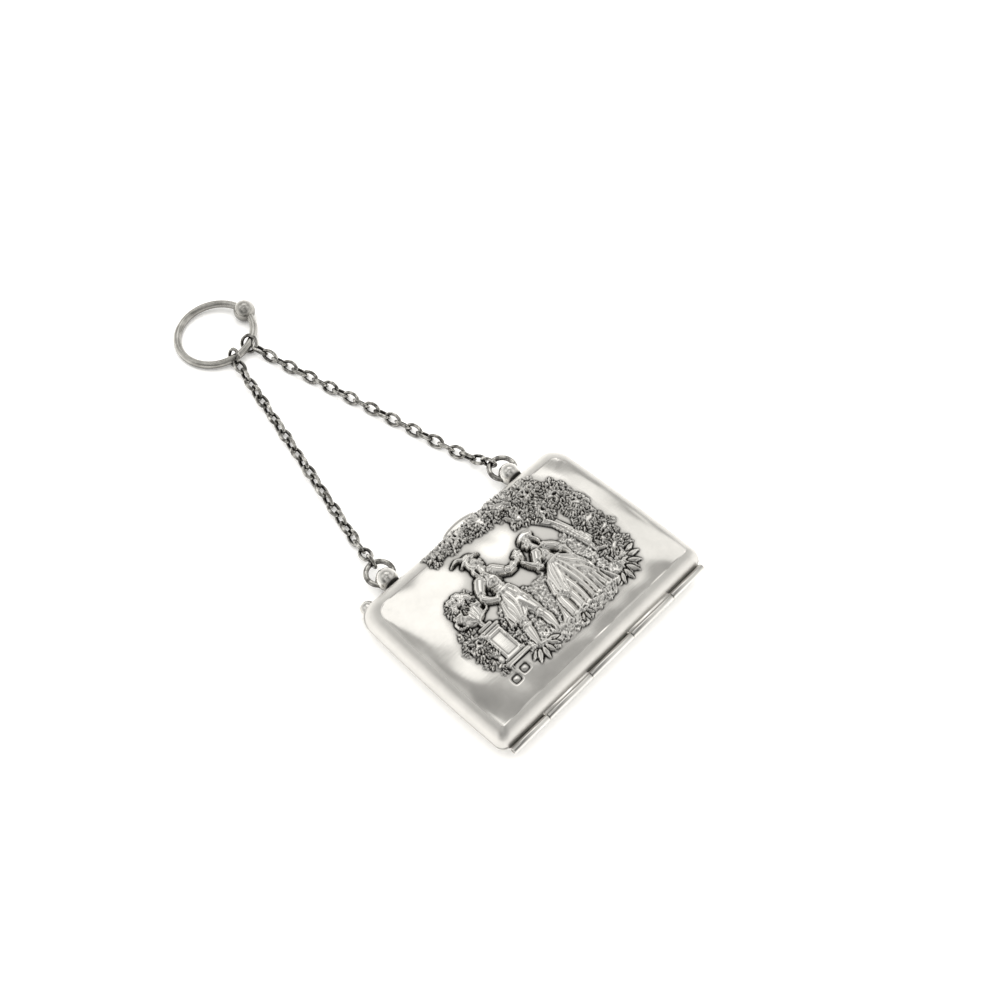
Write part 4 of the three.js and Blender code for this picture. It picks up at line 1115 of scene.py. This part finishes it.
def pressWall(face, shell, field):  # from the crease down to the rim
    columns, lines = len(face["xs"]), len(face["ys"])
    edge = gridEdge(columns, lines)
    face["edgeX"], face["edgeY"] = face["roundX"].ravel()[edge], face["roundY"].ravel()[edge]
    column = edge - (lines - 1) * columns - face["first"]  # along the chain side's garden
    leafy = np.flatnonzero((column >= 0) & (column < field["h"].shape[1]))
    column = column[leafy]
    rows = curveThrough(cover["wallRows"][::-1], cover["wallLoops"])
    reach, facing = overEdge(rows, face["middle"])
    brighter, full = cover["leafWear"]
    last = edge
    for j, row in enumerate(rows[1:], 1):
        loop, wear = edgeLoop(face, face["edgeX"], face["edgeY"], row), np.ones(len(edge))
        # the wall gets darker the nearer it is to the rim; where the leaves run on over the crease, their
        # oxide and painted shade go with them
        darkening = np.full(len(edge), cover["wallStain"] * (j / (len(rows) - 1)) ** 2)
        at = lines - 1 + reach[j] / garden["step"]
        if at < field["h"].shape[0] - 1:  # the leaves run on over the crease
            low, share = int(at), at - int(at)
            relief, oxide = ((1 - share) * field[name][low] + share * field[name][low + 1]
                             for name in ("h", "oxide"))
            loop[leafy, 1:] += relief[column, None] * facing[j]
            darkening[leafy] = oxide[column]
            wear[leafy] -= brighter * np.clip(relief[column] / full, 0, 1)
        here = addPoints(shell, loop, darkening, wear)
        shell["faces"] += np.stack([here, np.roll(here, -1), np.roll(last, -1), last], axis=1).tolist()
        last = here
    return last


def lineInside(face, shell, rim):  # up the inside and over its ceiling, at half the face's fineness
    darkening, wear = cover["insideStain"], cover["insideWear"]
    loops = []
    for row in cover["insideRows"]:
        loop = edgeLoop(face, face["edgeX"][::2], face["edgeY"][::2], row)
        loops.append(addPoints(shell, loop, darkening, wear))
    inner, innerNext = loops[0], np.roll(loops[0], -1)
    for i in range(len(inner)):  # the rim's flat edge
        o0, o1, o2 = rim[2 * i], rim[2 * i + 1], rim[(2 * i + 2) % len(rim)]
        shell["faces"] += [[o0, inner[i], o1], [o1, inner[i], innerNext[i], o2]]
    for low, high in zip(loops, loops[1:]):
        shell["faces"] += np.stack([low, high, np.roll(high, -1), np.roll(low, -1)], axis=1).tolist()

    half = (slice(None, None, 2), slice(None, None, 2))
    rise, insetX, insetY, radius, shifted = cover["insideRows"][-1]
    halfX, halfY = cover["halfX"] - insetX, cover["halfY"] - insetY
    x, y = face["roundX"][half] * halfX / face["a"], face["roundY"][half] * halfY / face["b"]
    height = faceHeight(face, face["x"][half], face["y"][half]) - cover["insideDrop"]
    height += cover["insideRelief"] * softened(face["h"], cover["insideSoften"])[half]
    ceiling = np.stack([bowed(x, y, halfX, halfY), y + face["middle"], height], axis=-1).reshape(-1, 3)
    rows, columns = x.shape
    edge = gridEdge(columns, rows)
    keep = np.ones(x.size, bool)
    keep[edge] = False  # its edge is the last loop
    index = np.empty(x.size, int)
    index[edge] = loops[-1]
    # the face's oxide and painted shade show through a little on the inside
    oxide = face["oxide"][half].ravel()[keep]
    index[keep] = addPoints(shell, ceiling[keep], darkening + cover["insideOxide"] * oxide, wear)
    shell["faces"] += index[gridFaces(columns, rows, False)].tolist()


def setMarks(mesh, name, values):
    mesh.attributes.new(name, "FLOAT", "POINT").data.foreach_set("value", values)


def makeCover():
    face = faceGrid()
    shell = {"points": [], "oxide": [], "wear": [], "faces": [], "count": 0}
    field = pressFace(face, shell)
    rim = pressWall(face, shell, field)
    lineInside(face, shell, rim)
    mesh = bpy.data.meshes.new("coverShell")
    mesh.from_pydata(np.concatenate(shell["points"]).tolist(), [], shell["faces"])
    for name in ("oxide", "wear"):
        setMarks(mesh, name, np.concatenate(shell[name]).astype("f"))
    mesh.update()
    piece = bpy.data.objects.new("coverShell", mesh)
    bpy.context.collection.objects.link(piece)
    settle(piece, brightSilver, "cover", ["front_shell"], sharpAt=cover["sharpAt"])


def smoothStep(x, low, high):
    t = min(max((x - low) / (high - low), 0), 1)
    return t * t * (3 - 2 * t)


def shadeOxideOrWearBy(piece, shade, name="oxide"):  # how dark the oxide and painted shade, or how dull the wear, is at each place
    setMarks(piece.data, name, [shade(corner.co) for corner in piece.data.vertices])


def shadeUndersides(piece, most, low, high):  # painted shade: darker the more a place faces down, left light on top
    layer = piece.data.attributes.get("oxide") or piece.data.attributes.new("oxide", "FLOAT", "POINT")
    for corner in piece.data.vertices:
        mark = layer.data[corner.index]
        mark.value = max(mark.value, most * smoothStep(-corner.normal.z, low, high))


# The pressed back: a matching tray, a little larger, flat where it lies
back = {
    "halfX": 38.7, "halfY": 27.3, "corner": 5.8, "hingeCorner": 2.5, "rimHeight": 6.35, "wall": 0.7,
    # drop from the rim, inset at the ends, inset at the long sides
    "rows": [(0.0, 0.0, 0.0), (2.0, 0.5, 0.5), (4.2, 1.8, 1.8), (5.6, 3.6, 3.6), (6.35, 6.4, 6.4)],
    "steps": 13, "cornerSteps": 10, "sideCuts": 23, "near": 0.1, "softened": (0.12, 50), "wear": 0.8,
}


def makeBack():
    halfX, halfY = back["halfX"], back["halfY"]
    piece = primitive("backShell", bpy.ops.mesh.primitive_plane_add, (halfX, halfY, 1), size=2,
                      location=(0, 0, back["rimHeight"]))
    farX, farY = halfX - back["near"], halfY - back["near"]
    for size, way in ((back["corner"], 1), (back["hingeCorner"], -1)):
        choose(piece, "VERT", lambda corner: abs(corner.co.x) > farX and way * corner.co.y > farY)
        bpy.ops.mesh.bevel(offset=size, segments=back["cornerSteps"], affect="VERTICES")
        bpy.ops.mesh.select_all(action="DESELECT")
        objectMode()
    for edge in piece.data.edges:  # only the four straight sides
        ends = [piece.data.vertices[v].co for v in edge.vertices]
        edge.select = (ends[0] - ends[1]).length > back["corner"]
    editMode(piece, "EDGE")
    bpy.ops.mesh.subdivide(number_cuts=back["sideCuts"])
    objectMode()
    for corner in piece.data.vertices:
        corner.co.x = bowed(corner.co.x, corner.co.y, halfX, halfY)
    editMode(piece, "FACE")
    bpy.ops.mesh.select_all(action="SELECT")
    rows = curveThrough(back["rows"], back["steps"])
    for (d0, x0, y0), (d1, x1, y1) in zip(rows, rows[1:]):  # the tray is let down step by step
        bpy.ops.mesh.extrude_region_move(TRANSFORM_OT_translate={"value": (0, 0, d0 - d1)})
        spread = ((halfX - x1) / (halfX - x0), (halfY - y1) / (halfY - y0), 1)
        bpy.ops.transform.resize(value=spread, center_override=(0, 0, 0))
    choose(piece, "FACE", lambda face: face.center.z > back["rimHeight"] - 0.01)  # the sheet over its mouth
    bpy.ops.mesh.delete(type="FACE")
    bpy.ops.mesh.select_all(action="SELECT")
    bpy.ops.mesh.normals_make_consistent(inside=False)
    objectMode()
    applyModifier(piece, "SOLIDIFY", thickness=back["wall"], offset=-1, use_even_offset=True)
    softenEdges(piece, *back["softened"])
    shadeOxideOrWearBy(piece, lambda co: back["wear"], "wear")
    settle(piece, brightSilver, "back", ["back_shell"])


# The hinge: five knuckles on one pin, each with a leaf soldered to its shell
hinge = {
    "y": -28.6, "height": 6.5, "radius": 1.0, "bore": 0.62, "half": 36.7, "sides": 28,
    "joints": (-24, -8, 8, 24), "gap": 0.3, "leafHeight": 0.6, "leafReach": 2.1, "partingGap": 0.3,
    "softened": (0.1, 60), "pin": 0.4, "pinPast": 0.25, "pinSides": 16,
    "pinEnd": [(0, 0), (0.7, 0.05), (1, 0.25)],  # share of the pin's radius, distance from its end
}


def alongX(radius, length, x):  # a round bar along the hinge's axis
    return primitive("bar", bpy.ops.mesh.primitive_cylinder_add, vertices=hinge["sides"], radius=radius,
                     depth=length, location=(x, hinge["y"], hinge["height"]), rotation=(0, math.pi / 2, 0))


def knuckle(fromX, toX, side):
    x, length = (fromX + toX) / 2, toX - fromX
    barrel = alongX(hinge["radius"], length, x)
    height = hinge["height"] + side * (hinge["leafHeight"] + hinge["partingGap"]) / 2
    sides = (length, hinge["leafReach"], hinge["leafHeight"])
    leaf = primitive("leaf", bpy.ops.mesh.primitive_cube_add, sides, size=1,
                     location=(x, hinge["y"] + hinge["leafReach"] / 2, height))
    boolean(barrel, leaf, "UNION")
    softenEdges(barrel, *hinge["softened"])
    boolean(barrel, alongX(hinge["bore"], length + 2, x), "DIFFERENCE")
    return barrel


def makeHinge():
    ends = [-hinge["half"], *hinge["joints"], hinge["half"]]
    groups = {"back": [], "cover": []}
    for k, (fromX, toX) in enumerate(zip(ends, ends[1:])):
        body = "cover" if k % 2 else "back"
        fromX += 0 if k == 0 else hinge["gap"] / 2
        toX -= 0 if k == len(ends) - 2 else hinge["gap"] / 2
        groups[body].append(knuckle(fromX, toX, 1 if body == "cover" else -1))
    for body, knuckles in groups.items():
        settle(joined(knuckles, body + "Knuckles"), brightSilver, body)
    half = hinge["half"] + hinge["pinPast"]
    tip = [(share * hinge["pin"], half - away) for share, away in hinge["pinEnd"]]
    pin = turned("hingePin", [(r, -x) for r, x in tip] + tip[::-1], hinge["pinSides"], "X")
    pin.data.transform(Matrix.Translation((0, hinge["y"], hinge["height"])))
    settle(pin, ringWire, "back", ["hinge_pin"])


# Ball studs on flared feet, bored for the jump rings, and the domed knob beside the left one.
# A painted shade below is how dark, and how much a place faces down where it starts and where it is full.
stud = {
    "x": 23.75, "y": 30.2, "height": 5.0, "ball": 3.15, "ballSteps": 22, "sides": 40, "sunk": 0.2,
    # radius and place along Y of the foot's profile, from the shell outwards
    "foot": [(0.0, 26.6), (3.75, 26.6), (3.9, 26.75), (3.9, 27.15), (3.75, 27.3), (3.3, 27.45), (2.8, 27.65),
             (2.45, 27.85), (2.35, 28.0)],
    "footFlat": 0.36, "footDark": 0.7, "darkBelow": 28.5, "darkFade": 0.5,
    "tarnish": (0.7, -0.5, 0.3), "wear": 0.3,
}
jump = {"y": 32.95, "radius": 3.7, "wire": 0.75, "clear": 0.18, "steps": 56, "sides": 14,
        "tarnish": (0.95, -1.1, 0.1)}
knob = {"place": (-33.4, 27.4, 4.0), "radius": 2.6, "sides": 36,
        "foot": [(0.0, -1.2), (0.9, -1.2), (1.0, -1.0), (1.0, -0.5)]}  # share of its radius, place along Y


def ringAt(x, wire, name):
    return primitive(name, bpy.ops.mesh.primitive_torus_add, major_radius=jump["radius"], minor_radius=wire,
                     major_segments=jump["steps"], minor_segments=jump["sides"],
                     location=(x, jump["y"], stud["height"]))


def makeStuds():
    footEnd, radius = stud["foot"][-1][1], stud["ball"]
    first = math.asin((footEnd + stud["sunk"] - stud["y"]) / radius)
    ball = []
    for k in range(stud["ballSteps"] + 1):
        angle = first + (math.pi / 2 - first) * k / stud["ballSteps"]
        ball.append((radius * math.cos(angle), stud["y"] + radius * math.sin(angle)))
    dark, fade = -stud["darkBelow"], stud["darkFade"]
    for side, name in ((-1, "Left"), (1, "Right")):
        x = side * stud["x"]
        piece = turned("ballStud" + name, stud["foot"] + ball, stud["sides"], "Y")
        for corner in piece.data.vertices:
            if corner.co.y < footEnd - 0.05:
                corner.co.z *= stud["footFlat"]
        piece.data.transform(Matrix.Translation((x, 0, stud["height"])))
        boolean(piece, ringAt(x, jump["wire"] + jump["clear"], "thread"), "DIFFERENCE")
        # painted shade: the foot darker towards the shell, and the stud darker underneath
        shadeOxideOrWearBy(piece, lambda co: stud["footDark"] * smoothStep(-co.y, dark, dark + fade))
        shadeUndersides(piece, *stud["tarnish"])
        shadeOxideOrWearBy(piece, lambda co: stud["wear"], "wear")
        settle(piece, brightSilver, "back")
        ring = ringAt(x, jump["wire"], "jumpRing" + name)
        # painted shade: the jump ring darker underneath
        shadeUndersides(ring, *jump["tarnish"])
        settle(ring, darkWire, "back", ["jump_ring_" + name.lower()])


def makeKnob():
    r = knob["radius"]
    dome = [(share * r, y) for share, y in knob["foot"]]
    dome += [(r * math.cos(math.radians(a)), r * math.sin(math.radians(a))) for a in range(0, 91, 6)]
    piece = turned("cornerKnob", dome, knob["sides"], "Y")
    piece.data.transform(Matrix.Translation(knob["place"]))
    settle(piece, brightSilver, "back")


# A low thumb lip, swelling softly out of the cover's edge
lip = {
    "place": (0.3, 26.5, 7.9), "half": (6.2, 1.9), "steps": 64, "sharpAt": 60,
    "profile": [(0.0, -0.7), (0.6, -0.68), (0.85, -0.5), (0.97, -0.2), (1.0, 0.1), (0.95, 0.38), (0.84, 0.6),
                (0.66, 0.76), (0.4, 0.86), (0.0, 0.9)],
}


def makeLip():
    piece = turned("thumbLip", lip["profile"], lip["steps"])
    piece.data.transform(Matrix.Translation(lip["place"]) @ Matrix.Diagonal((*lip["half"], 1, 1)))
    settle(piece, brightSilver, "cover", sharpAt=lip["sharpAt"])


# The finger ring with its ball, tipped on the ball where it lies
fingerRing = {
    "place": (0.85, 131.7, 2.25), "tip": (-1.7, -5.1), "radius": 11.7, "wire": 1.15,
    "steps": 112, "sides": 18, "ball": 3.3, "ballSteps": (48, 24), "tarnish": (0.8, -0.8, 0.25),
}


def ringLay():
    tipX, tipY = (math.radians(t) for t in fingerRing["tip"])
    return Matrix.Translation(fingerRing["place"]) @ Euler((tipX, tipY, 0)).to_matrix().to_4x4()


def makeFingerRing():
    radius = fingerRing["radius"]
    ring = primitive("fingerRing", bpy.ops.mesh.primitive_torus_add, major_radius=radius,
                     minor_radius=fingerRing["wire"], major_segments=fingerRing["steps"],
                     minor_segments=fingerRing["sides"])
    segments, rings = fingerRing["ballSteps"]
    ball = primitive("ball", bpy.ops.mesh.primitive_uv_sphere_add, segments=segments, ring_count=rings,
                     radius=fingerRing["ball"], location=(radius, 0, 0), rotation=(math.pi / 2, 0, 0))
    boolean(ring, ball, "UNION")
    ring.data.transform(ringLay())
    # painted shade: the finger ring darker underneath
    shadeUndersides(ring, *fingerRing["tarnish"])
    settle(ring, ringWire, "back", ["finger_ring"])


# Two strands of oval links from the jump rings to the finger ring, each link turned across the last.
# cadWire is the wire that the links' spacing is reckoned with.
chain = {
    "links": 24, "wire": 0.51, "cadWire": 0.54, "innerWidth": 1.8, "bite": 0.24, "endInner": 3.9,
    "slack": 0.14, "drop": 15.0, "sway": 7.0, "swayStep": 1.7, "ease": 5, "steps": 7, "sides": 3,
    "routeSteps": 400, "fullDark": 0.9, "tarnish": (0.85, -0.7, 0.25),
}
strands = [
    {"name": "Left", "x": -23.75, "towards": 76.0, "ring": 259.0, "lean": 25.0, "endTwist": -5.0,
     "rest": 1.9},
    {"name": "Right", "x": 23.75, "towards": 102.0, "ring": 292.0, "lean": 45.0, "endTwist": -8.0,
     "rest": 1.62},
]


def linkRoll(k, strand):  # degrees about the strand: links lean left and right in turn
    last, ease = chain["links"] - 1, chain["ease"]
    roll = strand["lean"] if k % 2 == 0 else strand["lean"] - 90
    roll = roll + chain["sway"] * math.sin(chain["swayStep"] * k)
    roll += (90 - strand["lean"]) * (1 - smoothStep(k, 0, ease))
    return roll + strand["endTwist"] * smoothStep(k, last - ease, last)


def linkOf(innerLength, innerWidth):  # an oval of wire, with oxide and painted shade on its inner side, where links bear
    clearSelection()
    bpy.ops.curve.primitive_bezier_circle_add(radius=1)
    link = bpy.context.object
    a, b = innerLength / 2 + chain["cadWire"], innerWidth / 2 + chain["cadWire"]
    link.scale = (a, b, 1)
    bpy.ops.object.transform_apply(location=False, rotation=False, scale=True, properties=False)
    link.data.bevel_depth = chain["wire"]
    link.data.bevel_resolution = chain["sides"]
    link.data.resolution_u = chain["steps"]
    bpy.ops.object.convert(target="MESH")
    placed(link, "link")
    cleanMesh(link)

    def inwards(co):
        size = max(math.hypot(co.x / a, co.y / b), 1e-6)
        gap = Vector((co.x / size - co.x, co.y / size - co.y, 0)).length * (1 if size < 1 else -1)
        return smoothStep(gap / chain["wire"], 0.0, chain["fullDark"])

    shadeOxideOrWearBy(link, inwards)
    return link


def strandRoute(strand):  # points from the jump ring to the finger ring, and its way in plan
    a = math.radians(strand["towards"])
    start = Vector((strand["x"] + jump["radius"] * math.cos(a), jump["y"] + jump["radius"] * math.sin(a),
                    stud["height"]))
    a = math.radians(strand["ring"])
    end = ringLay() @ Vector((fingerRing["radius"] * math.cos(a), fingerRing["radius"] * math.sin(a), 0))
    endRoll = math.radians(linkRoll(chain["links"] - 1, strand))
    end.z = max(end.z, (chain["endInner"] / 2 + chain["cadWire"]) * abs(math.sin(endRoll)) + chain["cadWire"])
    plan = Vector((end.x - start.x, end.y - start.y, 0))
    span, rest = plan.length, strand["rest"]
    plan.normalize()
    route = []
    for s in np.linspace(0, span, chain["routeSteps"]):
        height = rest + max(1 - s / chain["drop"], 0) ** 2 * (start.z - rest)
        height += max(1 - (span - s) / chain["drop"], 0) ** 2 * (end.z - rest)
        route.append([start.x + plan.x * s, start.y + plan.y * s, height])
    return np.array(route), plan


def makeChain(strand):
    route, plan = strandRoute(strand)
    lengths = np.concatenate([[0], np.cumsum(np.linalg.norm(np.diff(route, axis=0), axis=1))])

    def pointAt(s):  # the route goes on straight past its ends
        s0 = min(max(s, 0), lengths[-1])
        point = Vector([np.interp(s0, lengths, route[:, i]) for i in range(3)])
        return point + plan * (s - s0)

    first = -jump["wire"] - chain["slack"]
    last = lengths[-1] + chain["endInner"] / 2
    gaps = chain["links"] - 1
    inner = (last - first - chain["endInner"] - chain["bite"] * gaps) / gaps
    pitch = inner + chain["bite"]
    oval = linkOf(pitch, chain["innerWidth"])
    endLink = linkOf(chain["endInner"], chain["endInner"])
    links = []
    for k in range(chain["links"]):
        pattern, length = (endLink, chain["endInner"]) if k == gaps else (oval, inner)
        s = first + k * pitch + length / 2
        along = (pointAt(s + 0.5) - pointAt(s - 0.5)).normalized()
        side = Vector((along.y, -along.x, 0)).normalized()
        roll = math.radians(linkRoll(k, strand))
        normal = side.cross(along) * math.cos(roll) + side * math.sin(roll)
        turn = Matrix((along, normal.cross(along), normal)).transposed().to_4x4()
        links.append(copyOf(pattern, "link", Matrix.Translation(pointAt(s)) @ turn))
    for pattern in (oval, endLink):
        bpy.data.objects.remove(pattern, do_unlink=True)
    whole = joined(links, "chain" + strand["name"])
    # painted shade: the links darker underneath
    shadeUndersides(whole, *chain["tarnish"])
    settle(whole, darkWire, "back", ["chain_" + strand["name"].lower()])


makeCover()
makeBack()
makeHinge()
makeStuds()
makeKnob()
makeLip()
makeFingerRing()
for strand in strands:
    makeChain(strand)
print("all pieces settled")
